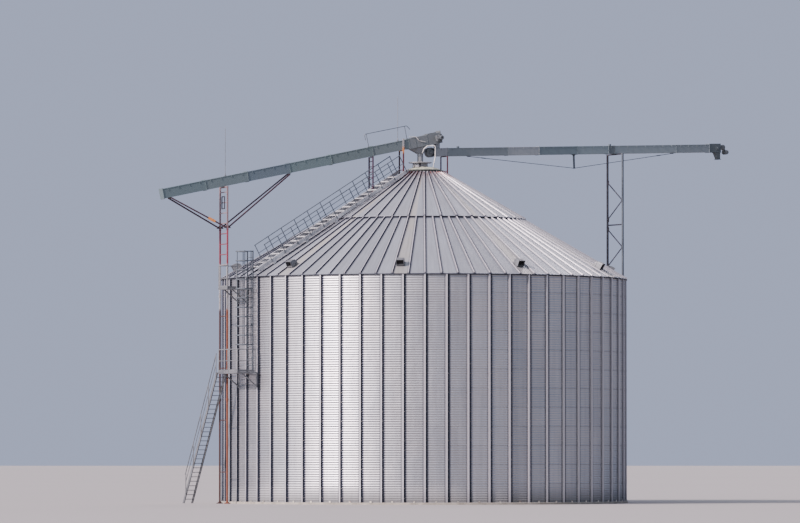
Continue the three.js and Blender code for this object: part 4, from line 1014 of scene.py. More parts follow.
def casing(bm, joints, size, sizes):
    """Conveyor casing between joints: folded bodies under clipped lids with turned-down lips."""
    wide, high = size
    w, h, lip = wide + 0.012, high, sizes.lid_lip
    lid = [(-w, h - lip), (-w, h - 0.004), (-w + 0.004, h), (w - 0.004, h), (w, h - 0.004), (w, h - lip),
           (w - 0.005, h - lip), (w - 0.005, h - 0.012), (-w + 0.005, h - 0.012), (-w + 0.005, h - lip)]
    for start, end in zip(joints, joints[1:]):
        sweep(bm, bar(2 * wide, 2 * high - 0.02, 0.006), [(start, 0, -0.01), (end, 0, -0.01)])
        sweep(bm, lid, [(start + 0.014, 0, 0), (end - 0.014, 0, 0)])
        count = max(1, round((end - start) / sizes.clip_pitch))
        for k in range(count):
            for side in SIDES:
                add_pad(bm, (start + (k + 0.5) * (end - start) / count, side * (w + 0.006), h - 0.055),
                        (0.018, 0.006, 0.045), 0.003)


def flanges(bm, joints, size, proud, head):
    """A pair of bolted frames round the casing at each joint."""
    w, h = size[0] + proud, size[1] + proud
    points = [(y, (k - 1.5) * size[1] / 2) for k in range(4) for y in (-w + 0.012, w - 0.012)]
    points += [((k - 1) * size[0] * 0.7, -h + 0.012) for k in range(3)]
    for x in joints:
        for side in SIDES:
            add_pad(bm, (x + side * 0.0065, 0, 0), (0.0055, w, h), 0.002)
        for side in SIDES:
            bolt_on(bm, head, [(x + side * 0.012, y, z) for y, z in points], (side, 0, 0))


def cooling_fins(bm, middle, radius, start, end, depth):
    """Fins round a motor that lies across a conveyor."""
    for k in range(20):
        turn = math.radians(18 * k + 9)
        out = Vector((math.cos(turn), 0, math.sin(turn)))
        rib = middle + out * radius
        sweep(bm, bar(0.004, depth), [rib + ACROSS * start, rib + ACROSS * end], out)


class SILO_OT_inclined_conveyor(Operator):
    """Inclined conveyor with its head, drive, guard rail and lightning rods"""

    bl_idname = "silo.inclined_conveyor"
    bl_label = "Inclined conveyor"

    def execute(self, context):
        sizes = context.scene.silo_steel
        place = bearing(INCLINED_BEARING, INCLINED_HEIGHT, INCLINED_FALL)
        wide, high = INCLINED_HALF
        head = bolt_shape(0.018, 0.01)
        joints = [out * INCLINED_UPRIGHT for out in INCLINED_JOINTS]
        paint = casing_zinc(INCLINED_TONES, INCLINED_JOINTS, INCLINED_BEARING, name="green_grey_conveyor_casing")
        bm = bmesh.new()
        casing(bm, joints, INCLINED_HALF, sizes)
        flanges(bm, joints[1:], INCLINED_HALF, 0.025, head)
        add_box(bm, (joints[0] + 0.0005, -wide - 0.025, -high - 0.025), (joints[0] + 0.012, wide + 0.025, high + 0.025),
                0.002)
        make_piece(bm, "inclined_conveyor_casing", paint, "conveyor_casing", "inclined_trough", place=place)
        self.head(paint, joints[0], HEAD_END * INCLINED_UPRIGHT, head, place)
        self.gear_motor(Vector((HEAD_SHAFT, wide + 0.015 + GAP, 0)), place)
        self.guard_rail(sizes, place)
        self.rods()
        return {"FINISHED"}

    def head(self, paint, joint, end, head, place):
        wide, high = INCLINED_HALF
        w, h = wide + 0.015, high + 0.025
        bm = bmesh.new()
        sweep(bm, bar(2 * w, 2 * h, 0.008), [(end + 0.03, 0, 0), (joint - GAP, 0, 0)])
        add_box(bm, (joint - 0.012, -wide - 0.025, -h), (joint - 0.0005, wide + 0.025, h), 0.002)
        add_box(bm, (end, -wide - 0.04, -h), (end + 0.036, wide + 0.04, high + 0.095), 0.005)
        # Inspection hatch with a folded rim, its hinges and two wing bolts
        add_box(bm, (end + 0.2, -wide + 0.035, h), (end + 0.62, wide - 0.035, high + 0.052), 0.006)
        add_box(bm, (end + 0.19, -wide + 0.025, high + 0.05), (end + 0.63, wide - 0.025, high + 0.06), 0.003)
        for x in (end + 0.28, end + 0.54):
            add_round(bm, (x - 0.04, -wide + 0.025, high + 0.058), (x + 0.04, -wide + 0.025, high + 0.058), 0.01, 8)
            add_round(bm, (x, wide - 0.05, high + 0.06), (x, wide - 0.05, high + 0.085), 0.012, 8)
        # Bearing of the head shaft
        shaft, face = HEAD_SHAFT, -w - 0.014
        add_box(bm, (shaft - 0.11, face, -0.11), (shaft + 0.11, -w, 0.11), 0.004)
        centre = Vector((shaft, 0, 0))
        add_drum(bm, centre, face, -w - 0.07, 0.065, edge=0.008)
        add_drum(bm, centre, -w - 0.07, -w - 0.1, 0.025, 16, edge=0.003)
        bolt_on(bm, head, [(shaft + x, face, z) for x in (-0.085, 0.085) for z in (-0.085, 0.085)], -ACROSS)
        # Stiffening angles folded over the body
        for x in (end + 0.7, joint - 0.3):
            add_box(bm, (x - 0.004, face, -h + 0.01), (x + 0.004, -face, h + 0.012), 0.0015)
        bolt_on(bm, head, [(end, y, z) for y in (-0.23, 0.23) for z in (-0.2, -0.07, 0.07, 0.2)], (-1, 0, 0))
        make_piece(bm, "inclined_conveyor_head", paint, "conveyor_casing", "inclined_head", place=place)

    def gear_motor(self, foot, place):
        """Gearbox, finned motor with its fan cowl, and terminal box."""
        bm = bmesh.new()
        add_box(bm, foot + Vector((-0.13, 0, -0.15)), foot + Vector((0.13, 0.19, 0.13)), 0.016)
        add_drum(bm, foot, 0, 0.215, 0.06, 20, edge=0.006)
        add_drum(bm, foot, 0.18, 0.205, 0.113, 28, edge=0.004)
        add_drum(bm, foot, 0.2, 0.47, 0.098, 28)
        cooling_fins(bm, foot, 0.103, 0.215, 0.455, 0.024)
        add_drum(bm, foot, 0.455, 0.519, 0.1, 28, far_radius=0.092, edge=0.006)
        for k in range(3):
            add_drum(bm, foot, 0.5185, 0.52, 0.07 - 0.02 * k, 20)
        add_pad(bm, foot + Vector((0, 0.33, 0.11)), (0.06, 0.07, 0.05), 0.008)
        add_pad(bm, foot + Vector((0, 0.33, 0.1625)), (0.065, 0.075, 0.0075), 0.004)
        head = bolt_shape(0.02, 0.012)
        bolt_on(bm, head, [foot + Vector((x, y, 0.13)) for x in (-0.1, 0.1) for y in (0.03, 0.16)], UP)
        for side in SIDES:
            bolt_on(bm, head, [foot + Vector((side * 0.13, 0.095, z)) for z in (-0.11, 0.09)], (side, 0, 0))
        make_piece(bm, "inclined_gear_motor", machine_enamel(), "machine_grey", "inclined_motor", place=place)

    def guard_rail(self, sizes, place):
        first, last = 2.71 * INCLINED_UPRIGHT, 0.8 * INCLINED_UPRIGHT
        low, y = INCLINED_HALF[1] + GAP, 0.18
        top = low + 0.6
        ring = tube(0.016, sizes.tube_sides)
        bm = bmesh.new()
        for x in (first, last + 0.06):
            sweep(bm, ring, [(x, y, low), (x, y, top)])
        sweep(bm, ring, rounded([(first + 0.09, y, top - 0.27), (first + 0.09, y, top), (last - 0.05, y, top),
                                 (last - 0.17, y, top - 0.19)], 0.07), ACROSS)
        for x, reach in ((first, 0.05), (last + 0.06, 0.03)):
            add_box(bm, (x - reach, y - 0.03, low), (x + reach, y + 0.03, low + 0.01), 0.002)
            add_round(bm, (x, y, low + 0.01), (x, y, low + 0.05), 0.022, 12, edge=0.003)
        make_piece(bm, "inclined_guard_rail", weathered_zinc(), "peak_steel", "conveyor_guard_rail", place=place)

    def rods(self):
        """Lightning rods: a tapered rod clamped in a foot on the casing."""
        half = INCLINED_HALF[1]
        for name, out, side, height in (("mast", MAST_OUT, 0.18, 16.69), ("peak", 1.34, 0.15, 18.27)):
            def base(x, y, z, out=out, side=side):
                at = out + (-0.04, 0.04)[x]
                return Vector((at, side + (-0.04, 0.04)[y], inclined_at(at, half) + (GAP, 0.03)[z]))

            bm = bmesh.new()
            add_block(bm, base, 0.004)
            foot = Vector((out, side, inclined_at(out, half)))
            tip = Vector((out, side, height))
            add_round(bm, foot + UP * 0.015, foot + UP * 0.12, 0.02, 12, edge=0.003)
            add_round(bm, foot + UP * 0.1, tip - UP * 0.08, 0.0115, 10, far_radius=0.01)
            add_round(bm, tip - UP * 0.08, tip, 0.01, 10, far_radius=0.003)
            make_piece(bm, f"lightning_rod_{name}_tapered", walkway_zinc(), "peak_steel", f"lightning_rod_{name}",
                       place=bearing(INCLINED_BEARING))


class SILO_OT_level_conveyor(Operator):
    """Level conveyor with its ends, drive, truss and transfer box"""

    bl_idname = "silo.level_conveyor"
    bl_label = "Level conveyor"

    def execute(self, context):
        place = bearing(LEVEL_BEARING, LEVEL_HEIGHT, -LEVEL_RISE)
        wide, high = LEVEL_HALF
        end = LEVEL_JOINTS[-1]
        paint = casing_zinc(LEVEL_TONES, LEVEL_JOINTS, LEVEL_BEARING, name="blue_grey_conveyor_casing")
        head = bolt_shape(0.018, 0.01)
        bm = bmesh.new()
        casing(bm, [LEVEL_TAIL, *LEVEL_JOINTS], LEVEL_HALF, context.scene.silo_steel)
        flanges(bm, LEVEL_JOINTS[:-1], LEVEL_HALF, 0.015, head)
        for x in (1.78, 9.9):
            add_box(bm, (x - 0.045, -0.05, high), (x + 0.045, 0.05, high + 0.085), 0.006)
        add_box(bm, (end - 0.012, -wide - 0.025, -high - 0.015), (end, wide + 0.025, high + 0.015), 0.002)
        make_piece(bm, "level_conveyor_casing", paint, "conveyor_casing", "level_trough", place=place)
        self.head(paint, end + GAP, head, place)
        self.tail(head, place)
        self.drive(end + LEVEL_HEAD + GAP, place)
        self.truss(place)
        self.transfer(paint)
        return {"FINISHED"}

    def head(self, paint, start, head, place):
        wide, high = LEVEL_HALF
        reach = LEVEL_HEAD - GAP
        end = start + reach
        bm = bmesh.new()
        sweep(bm, bar(2 * wide + 0.02, 2 * high + 0.04, 0.008), [(start, 0, 0.01), (end - 0.012, 0, 0.01)])

        def chute(x, y, z):
            half = wide - (0.06, 0.02)[z]
            return Vector((start + ((0.47, 0.625), (0.36, 0.62))[z][x], (-half, half)[y], (-high - 0.33, -high)[z]))

        add_block(bm, chute, 0.004)
        # End plate, joint plate, chute flanges, top hatch and bearing plate
        y = -wide - 0.01
        for low, top, edge in (
                ((reach - 0.012, y, -high - 0.01), (reach, -y, high + 0.03), 0.003),
                ((0, -wide - 0.025, -high - 0.015), (0.02, wide + 0.025, high + 0.035), 0.003),
                ((0.44, -wide + 0.02, -high - 0.345), (0.655, wide - 0.02, -high - 0.32), 0.003),
                ((0.34, -wide + 0.004, -high - 0.03), (0.636, wide - 0.004, -high - 0.01), 0.003),
                ((0.12, -wide + 0.03, high + 0.028), (0.42, wide - 0.03, high + 0.034), 0.002),
                ((0.36, y - 0.014, -0.1), (0.56, y, 0.1), 0.003)):
            add_box(bm, (start + low[0], *low[1:]), (start + top[0], *top[1:]), edge)
        add_drum(bm, Vector((start + 0.46, 0, 0)), y - 0.014, y - 0.06, 0.055, edge=0.006)
        bolt_on(bm, head, [(end, y, z) for y in (-0.14, 0.14) for z in (-0.15, 0.17)], (1, 0, 0))
        make_piece(bm, "level_conveyor_head", paint, "conveyor_casing", "level_head", place=place)

    def drive(self, end, place):
        """Gearbox on the end of the head, with a finned motor hung below it."""
        bm = bmesh.new()
        gearbox, motor = Vector((end + 0.165, 0, 0.04)), Vector((end + 0.345, 0, -0.19))
        add_box(bm, (end, -0.09, -0.05), (end + 0.165, 0.09, 0.13), 0.006)
        add_drum(bm, gearbox, -0.112, 0.112, 0.12, 36, edge=0.006)
        sweep(bm, bar(0.15, 0.09, 0.008), [gearbox, motor])
        add_drum(bm, motor, -0.1, 0.13, 0.092, 28)
        cooling_fins(bm, motor, 0.096, -0.09, 0.12, 0.022)
        add_drum(bm, motor, 0.12, 0.149, 0.105, 28, edge=0.004)
        add_drum(bm, motor, -0.095, -0.149, 0.104, 28, far_radius=0.095, edge=0.005)
        head = bolt_shape(0.018, 0.007)
        for side in SIDES:
            add_drum(bm, gearbox, side * 0.11, side * 0.1195, 0.06, edge=0.002)
            bolt_ring(bm, head, gearbox + ACROSS * side * 0.112, 0.095, side)
        make_piece(bm, "level_end_drive", machine_enamel(), "machine_grey", "level_motor", place=place)

    def tail(self, head, place):
        """Round end of the conveyor with its bearings, a longer one on the far side."""
        bm = bmesh.new()
        centre, wide = Vector((0.3, 0, 0)), 0.13
        add_drum(bm, centre, -wide, wide, 0.225, 48, edge=0.006)
        add_box(bm, (0.3, -wide, -LEVEL_HALF[1]), (LEVEL_TAIL - GAP, wide, LEVEL_HALF[1]), 0.004)
        for side, reach in zip(SIDES, (0.045, 0.06)):
            face = centre + ACROSS * side * wide
            add_drum(bm, face, side * -0.01, side * 0.012, 0.12, 32, edge=0.004)
            add_drum(bm, face, 0, side * reach, 0.07, edge=0.006)
            add_drum(bm, face, 0, side * (reach + 0.0005), 0.022, 16)
            bolt_ring(bm, head, face + ACROSS * side * 0.012, 0.097, side)
        make_piece(bm, "level_conveyor_tail", machine_enamel(), "machine_grey", "level_tail", place=place)

    def truss(self, place):
        """King post under the conveyor's middle, held by a steel rod to each side."""
        bm = bmesh.new()
        under, post, ends = -LEVEL_HALF[1] - GAP, 7.93, (2.32, 13.3)
        for x in ends:
            add_box(bm, (x - 0.09, -0.06, under - 0.012), (x + 0.09, 0.06, under), 0.002)
            add_box(bm, (x - 0.07, -0.006, under - 0.04), (x + 0.07, 0.006, under - 0.01), 0.001)
        add_box(bm, (post - 0.035, -0.035, under - 0.65), (post + 0.035, 0.035, under), 0.005)
        add_box(bm, (post - 0.09, -0.11, under - 0.014), (post + 0.09, 0.11, under), 0.002)
        for side in SIDES:
            add_block(bm, lambda x, y, z, side=side: Vector((
                post + side * (0.03 + 0.06 * z * x), (-0.005, 0.005)[y], under - (0.09, 0.012)[z])))
        add_box(bm, (post - 0.035, -0.045, under - 0.65), (post + 0.035, 0.045, under - 0.61), 0.004)
        foot = Vector((post, 0, under - 0.63))
        for x in ends:
            end = Vector((x, 0, under - 0.02))
            sweep(bm, tube(0.013), [end, foot])
            # Turnbuckle
            sweep(bm, tube(0.022, 8), [end.lerp(foot, 0.12), end.lerp(foot, 0.16)])
        make_piece(bm, "king_post_and_rods", weathered_zinc(), "galvanised", "king_post_truss", place=place)

    def transfer(self, paint):
        """Chute from the inclined head into the level conveyor, flanged at both ends."""
        to_inclined = facing(LEVEL_BEARING - INCLINED_BEARING)

        def corner(x, y, top, wider=0.0, off=0.0):
            """A corner of the chute's foot or top, or of a wider flange so far off it."""
            point = Vector(((0.557 - wider, 0.758 + wider)[x], (-0.118 - wider, 0.118 + wider)[y], 0))
            if top:
                point.z = inclined_at((to_inclined @ point).x, -INCLINED_BELOW) - GAP - off
            else:
                point.z = level_at(point.x, LEVEL_HALF[1]) + GAP + off
            return point

        bm = bmesh.new()
        add_block(bm, corner, 0.003)
        add_block(bm, lambda x, y, z: corner(x, y, 0, 0.012, (0, 0.012)[z]), 0.001)
        add_block(bm, lambda x, y, z: corner(x, y, 1, 0.012, (0.012, 0)[z]), 0.001)
        make_piece(bm, "transfer_chute", paint, "conveyor_casing", "transfer_box", place=bearing(LEVEL_BEARING))


# Masts and frames

def gusset(bm, corner, along, up, reach, thick=0.008):
    """A triangular plate in the corner between two members."""
    corner, along, up = Vector(corner), Vector(along), Vector(up)
    out = along.cross(up) * (thick / 2)
    add_sheet(bm, [p - out for p in (corner, corner + along * reach, corner + up * reach)], out * 2)


def square_leg(bm, out, y, top, size, plate, splices):
    """Square post on a base plate with four anchor bolts and gussets, its lengths joined by sleeves."""
    sweep(bm, bar(size, size, 0.006), [(out, y, 0.0), (out, y, top)])
    leg = size / 2
    add_box(bm, (out - plate, y - plate, 0), (out + plate, y + plate, 0.02), 0.003)
    anchor = plate * 0.72
    bolt_on(bm, bolt_shape(0.03, 0.03), [(out + a * anchor, y + b * anchor, 0.02) for a in SIDES for b in SIDES], UP)
    for side in SIDES:
        gusset(bm, (out + side * leg, y, 0.02), (side, 0, 0), UP, plate - leg - 0.005)
        gusset(bm, (out, y + side * leg, 0.02), (0, side, 0), UP, plate - leg - 0.005)
    sleeve = leg + 0.01
    for z in splices:
        add_pad(bm, (out, y, z), (sleeve, sleeve, plate - 0.05 if size > 0.07 else 0.06), 0.004)


def levels(start, end, step):
    """Heights from start towards end, one step apart."""
    found = []
    while (end - start) * step > 0:
        found.append(start)
        start += step
    return found


def strut_paint():
    """Old brushed paint of the struts: dull purplish red, chipped to rust."""
    return mast_paint("dark_red", name="old_purple_red_paint_on_struts")


class SILO_OT_mast(Operator):
    """Painted mast and struts under the inclined conveyor"""

    bl_idname = "silo.mast"
    bl_label = "Mast and struts"

    def execute(self, context):
        place = bearing(INCLINED_BEARING)
        out, half, leg = MAST_OUT, MAST_HALF, MAST_LEG
        top = inclined_at(out + leg, -INCLINED_HALF[1]) - GAP
        brown = mast_paint("brown_red", (8.6, "primer"), (10.6, "crimson"), (12.2, "faded"),
                           name="brushed_dark_red_on_mast")
        orange = mast_paint("orange_red", (8.6, "primer"), (10.6, "rose"), (12.2, "faded"),
                            name="brushed_orange_red_on_mast")
        for name, y, coat in (("left", -half, brown), ("right", half, orange)):
            bm = bmesh.new()
            square_leg(bm, out, y, top, 2 * leg, 0.12, (4.6, 9.2))
            make_piece(bm, f"mast_{name}_leg", coat, "red_oxide", "conveyor_mast", place=place)
        bm = bmesh.new()
        sweep(bm, bar(2 * leg, 2 * leg, 0.006), [(out, leg - half, top - leg), (out, half - leg, top - leg)])
        for z in (1.4, 3.7, 6.0, 8.3, *levels(10.58, top - 0.23, 0.46)):
            sweep(bm, bar(0.04, 0.04, 0.005), [(out, leg - half, z), (out, half - leg, z)])
        for side in SIDES:
            gusset(bm, (out, side * (half - leg), top - 2 * leg), (0, -side, 0), -UP, 0.12)
        make_piece(bm, "mast_rungs", brown, "red_oxide", "conveyor_mast", place=place)
        for name, head_out, below in (("inner", 6.55, INCLINED_BELOW), ("outer", 12.13, INCLINED_HALF[1])):
            self.struts(name, head_out, below, place)
        # A dark hand loop is fixed across one of the upper rungs
        x, ys, grip = out + leg + 0.007, (-0.12, 0.2), tube(0.024)
        bm = bmesh.new()
        for y in ys:
            sweep(bm, grip, [(x, y, 13.06), (x, y, 13.62)])
        for z in (13.075, 13.605):
            sweep(bm, grip, [(x, ys[0], z), (x, ys[1], z)])
        make_piece(bm, "mast_hand_loop", dark_paint_and_shade(), "red_oxide", place=place)
        return {"FINISHED"}

    def struts(self, name, head_out, below, place):
        """Two struts from the mast's legs to a bar under the conveyor."""
        bm = bmesh.new()
        half = 0.03
        square = bar(2 * half, 2 * half, 0.005)
        z = inclined_at(head_out + half, -below) - GAP - half
        sweep(bm, square, [(head_out, -0.22, z), (head_out, 0.22, z)])
        step, face = math.copysign(1, head_out - MAST_OUT), MAST_LEG + 0.0005
        for side in SIDES:
            foot = Vector((MAST_OUT, side * MAST_HALF, 12.2))
            head = Vector((head_out, side * 0.19, z))
            along = (head - foot).normalized()
            sweep(bm, square, [foot + along * (face / abs(along.x)), head])
            plate = foot + Vector((step * face, 0, 0))
            sweep(bm, bar(0.05, 0.2), [plate, plate + Vector((step * 0.008, 0, 0))])
            gusset(bm, plate, (step, 0, 0), UP, 0.14)
        make_piece(bm, f"{name}_struts_of_mast", strut_paint(), "red_oxide", f"strut_pair_{name}", place=place)
        if name == "outer":
            bm = bmesh.new()
            sweep(bm, bar(0.08, 0.11, 0.006), [foot.lerp(head, 0.22), foot.lerp(head, 0.34)])
            make_piece(bm, "strut_clamp", mast_paint("flame", name="flame_orange_clamp_paint"), "red_oxide",
                       place=place)


class SILO_OT_peak_frames(Operator):
    """Small ladder-like frames under the conveyors near the peak"""

    bl_idname = "silo.peak_frames"
    bl_label = "Peak frames"

    def execute(self, context):
        worn = mast_paint("frame_red", (15.72, "flame"), (15.98, "primer"), name="worn_red_and_orange_paint")
        dark = mast_paint("frame_purple", name="purple_black_frame_paint")
        bright = mast_paint("frame_red", name="red_frame_paint")
        under = inclined_at(1.125, -INCLINED_HALF[1]) - 0.018 - GAP
        over = inclined_at(1.1, INCLINED_HALF[1]) + 0.06
        self.ladder_like("peak_frame_left", INCLINED_BEARING, 1.1, 0.2453, (under, over), (14.96, under),
                         (strut_paint(), worn))
        top = inclined_at(2.595, -INCLINED_BELOW) - GAP
        self.ladder_like("ladder_frame", INCLINED_BEARING, 2.57, 0.233, (top, top),
                         (top - 0.025, *levels(top - 0.2, 14.55, -0.24)), (dark, dark))
        top = level_at(1.025, -LEVEL_HALF[1]) - GAP
        self.ladder_like("peak_frame_right", LEVEL_BEARING, 1.05, 0.292, (top, top), (14.95, top - 0.0175),
                         (bright, dark))
        return {"FINISHED"}

    def ladder_like(self, node, degrees, out, half, tops, rungs, paints):
        """Two square legs standing on the roof, with the rungs on the second one's paint."""
        place = bearing(degrees)
        for side, name, top, paint in zip(SIDES, ("far", "near"), tops, paints):
            def corner(a, b, c, reach, top, side=side):
                """A corner of the leg or of its foot plate; top gives its height over the roof."""
                point = place @ Vector((out + (-reach[0], reach[0])[a], side * half + (-reach[1], reach[1])[b], 0))
                return Vector((point.x, point.y, top(self.ground(point)) if c else self.ground(point)))

            bm = bmesh.new()
            add_block(bm, lambda a, b, c: corner(a, b, c, (0.025, 0.025), lambda ground: top), 0.004)
            add_block(bm, lambda a, b, c: corner(a, b, c, (0.06, 0.045), lambda ground: ground + 0.01), 0.001)
            if side > 0:
                for z in rungs:
                    ends = [place @ Vector((out, s * (half - 0.025), z)) for s in SIDES]
                    sweep(bm, bar(0.035, 0.035, 0.004), ends)
            make_piece(bm, f"{node}_{name}_leg", paint, "red_oxide", node)

    def ground(self, point):
        """Height of what a leg stands on: the top of the roof stair's stringer or of the ribs."""
        local = bearing(STAIR_BEARING).inverted() @ point
        if abs(abs(local.y) - STAIR_HALF) < 0.06 and STAIR_TOP < local.x < STAIR_START:
            return stair_line(local.x, STRINGER[1] + GAP)
        return roof_top(point.xy.length, TIER_LIFT) + 0.004


class SILO_OT_trestle(Operator):
    """Tall braced trestle under the level conveyor"""

    bl_idname = "silo.trestle"
    bl_label = "Trestle"

    def execute(self, context):
        place = bearing(LEVEL_BEARING)
        out, half, leg = 10.17, 0.65, 0.04
        top = level_at(out - leg, -LEVEL_HALF[1]) - GAP
        # The left leg takes the dark paint as painted shade, a shaded copy of the right leg's weathered zinc
        for name, y, paint in (("right", -half, weathered_zinc()), ("left", half, dark_paint_and_shade())):
            bm = bmesh.new()
            square_leg(bm, out, y, top, 2 * leg, 0.13, (5.2, 10.3))
            make_piece(bm, f"trestle_{name}_leg", paint, "galvanised", "conveyor_trestle", place=place)
        bars, brace_rise = (0.61, 3.64, 6.67, 9.7, 12.73), 0.88
        angle = [(-0.032, -0.022), (0.032, -0.022), (0.032, -0.014), (-0.024, -0.014), (-0.024, 0.03), (-0.032, 0.03)]
        small = bolt_shape(0.022, 0.014)
        bm = bmesh.new()
        for z in (*bars, top - 0.03):
            sweep(bm, bar(0.06, 0.06, 0.005), [(out, -half + leg, z), (out, half - leg, z)])
        for z in bars:
            bays = 2 if z == bars[-1] else 3
            for k in range(bays):
                side = -1 if (bays - k) % 2 else 1
                start = Vector((out, side * half, z + 0.23 + brace_rise * k))
                end = Vector((out, -side * half, start.z + brace_rise))
                sweep(bm, angle, [start, end], (1, 0, 0))
                for point, inward in ((start, -side), (end, side)):
                    mid = point + ACROSS * inward * 0.08
                    add_pad(bm, mid, (0.005, 0.05, 0.07))
                    bolt_on(bm, small, [mid + Vector((-0.005, 0, dz)) for dz in (-0.04, 0.04)], (-1, 0, 0))
        make_piece(bm, "trestle_bars_and_braces", dark_paint_and_shade(), "galvanised", "conveyor_trestle", place=place)
        return {"FINISHED"}


# Stairs, ladder and platforms

STAIR_START = 9.05
STAIR_TOP = 1.1
STAIR_FEET = (8.2, 6.5, 4.95, 3.6, 2.1)
RAIL_POSTS = (8.35, 7.665, 6.98, 6.295, 5.61, 4.925, 3.875, 3.19, 2.505, 1.82, 1.18)


def rim_of(low, high, thick):
    """Four bars round a rectangle, as pairs of corners."""
    (x0, y0), (x1, y1) = low, high
    return (((x0, y0), (x1, y0 + thick)), ((x0, y1 - thick), (x1, y1)),
            ((x0, y0 + thick), (x0 + thick, y1 - thick)), ((x1 - thick, y0 + thick), (x1, y1 - thick)))


def grating(bm, low, high, pitch):
    """Open grating: bearing bars on edge, cross rods and a rim."""
    rim = 0.005
    (x0, y0, bottom), (x1, y1, top) = low, high
    for a, b in rim_of((x0, y0), (x1, y1), rim):
        add_box(bm, (*a, bottom), (*b, top))
    count = max(2, round((y1 - y0) / pitch))
    for k in range(1, count):
        y = y0 + (y1 - y0) * k / count
        add_box(bm, (x0 + rim, y - 0.002, bottom + 0.004), (x1 - rim, y + 0.002, top))
    rods = max(2, round((x1 - x0) / 0.12))
    for k in range(1, rods):
        x = x0 + (x1 - x0) * k / rods
        add_box(bm, (x - 0.003, y0 + rim, top - 0.009), (x + 0.003, y1 - rim, top - 0.002))


class SILO_OT_roof_stair(Operator):
    """Stair up the roof, with grated treads and a rail on each side"""

    bl_idname = "silo.roof_stair"
    bl_label = "Roof stair"

    def execute(self, context):
        sizes = context.scene.silo_steel
        place = bearing(STAIR_BEARING)
        bm = bmesh.new()
        low, high = STRINGER
        for side in SIDES:
            y = side * STAIR_HALF
            face = y + side * STRINGER_HALF
            # A channel with its flanges turned inwards
            for inner, rises in ((0.008, STRINGER), (0.05, (low, low + 0.008)), (0.05, (high - 0.008, high))):
                self.slanted(bm, (STAIR_TOP, STAIR_START), (face - side * inner, face), rises)
            for out in STAIR_FEET:
                self.slanted(bm, (out - 0.06, out + 0.06), (y - 0.022, y + 0.022), (self.roof_under(out, y), 0.095),
                             0.002)
        out = STAIR_START - 0.06
        while out - 0.25 > 1.23:
            high = stair_line(out - 0.12, 0.205)
            grating(bm, (out - 0.25, -STAIR_HALF + 0.02, high - 0.04), (out, STAIR_HALF - 0.02, high), sizes.grating)
            out -= 0.3425
        # The stair's steel takes a paler colour as painted light, standing in for the sky light on its near side
        pale = walkway_zinc("stair", "walkway", name="pale_galvanised_walkway_steel")
        make_piece(bm, "roof_stair_stringers_and_treads", pale, "walkway", "roof_stair", place=place)
        for name, side in (("far", -1), ("near", 1)):
            self.rail(sizes, name, side, place)
        return {"FINISHED"}

    def slanted(self, bm, xs, ys, rises, edge=0.0):
        """A block that lies along the stair's slope."""
        add_block(bm, lambda a, b, c: Vector((xs[a], ys[b], stair_line(xs[a], rises[c]))), edge)

    def roof_under(self, out, y):
        """Depth below the stair's line at which a foot meets the sheets."""
        radius = math.hypot(out, y)
        return roof_top(radius, TIER_LIFT if radius < TIER_EDGE else 0.0) + 0.02 - stair_line(out)

    def rail(self, sizes, name, side, place):
        y = side * (STAIR_HALF + STRINGER_HALF + RAIL_OFF + GAP)
        square = Vector((SLOPE, 0, 1)).normalized()

        def over(out, rise):
            return Vector((out, y, stair_line(out, 0.115))) + square * rise

        top, knee = 0.85, 0.45
        ring = tube(RAIL_TUBE, sizes.tube_sides)
        head = bolt_shape(0.02, 0.01)
        bm = bmesh.new()
        for out in RAIL_POSTS:
            sweep(bm, ring, [over(out, 0), over(out, top)], ACROSS)
            bolt_on(bm, head, [over(out, rise) + ACROSS * side * 0.02 for rise in (0.02, 0.1)], (0, side, 0))
        first, last = RAIL_POSTS[0], RAIL_POSTS[-1]
        sweep(bm, ring, [over(first + 0.025, top), over(last - 0.025, top)], ACROSS)
        sweep(bm, tube(KNEE_TUBE, 8), [over(first, knee), over(last, knee)], ACROSS)
        make_piece(bm, f"roof_stair_{name}_rail_tubes", weathered_zinc(), "walkway", f"roof_stair_rail_{name}",
                   place=place)


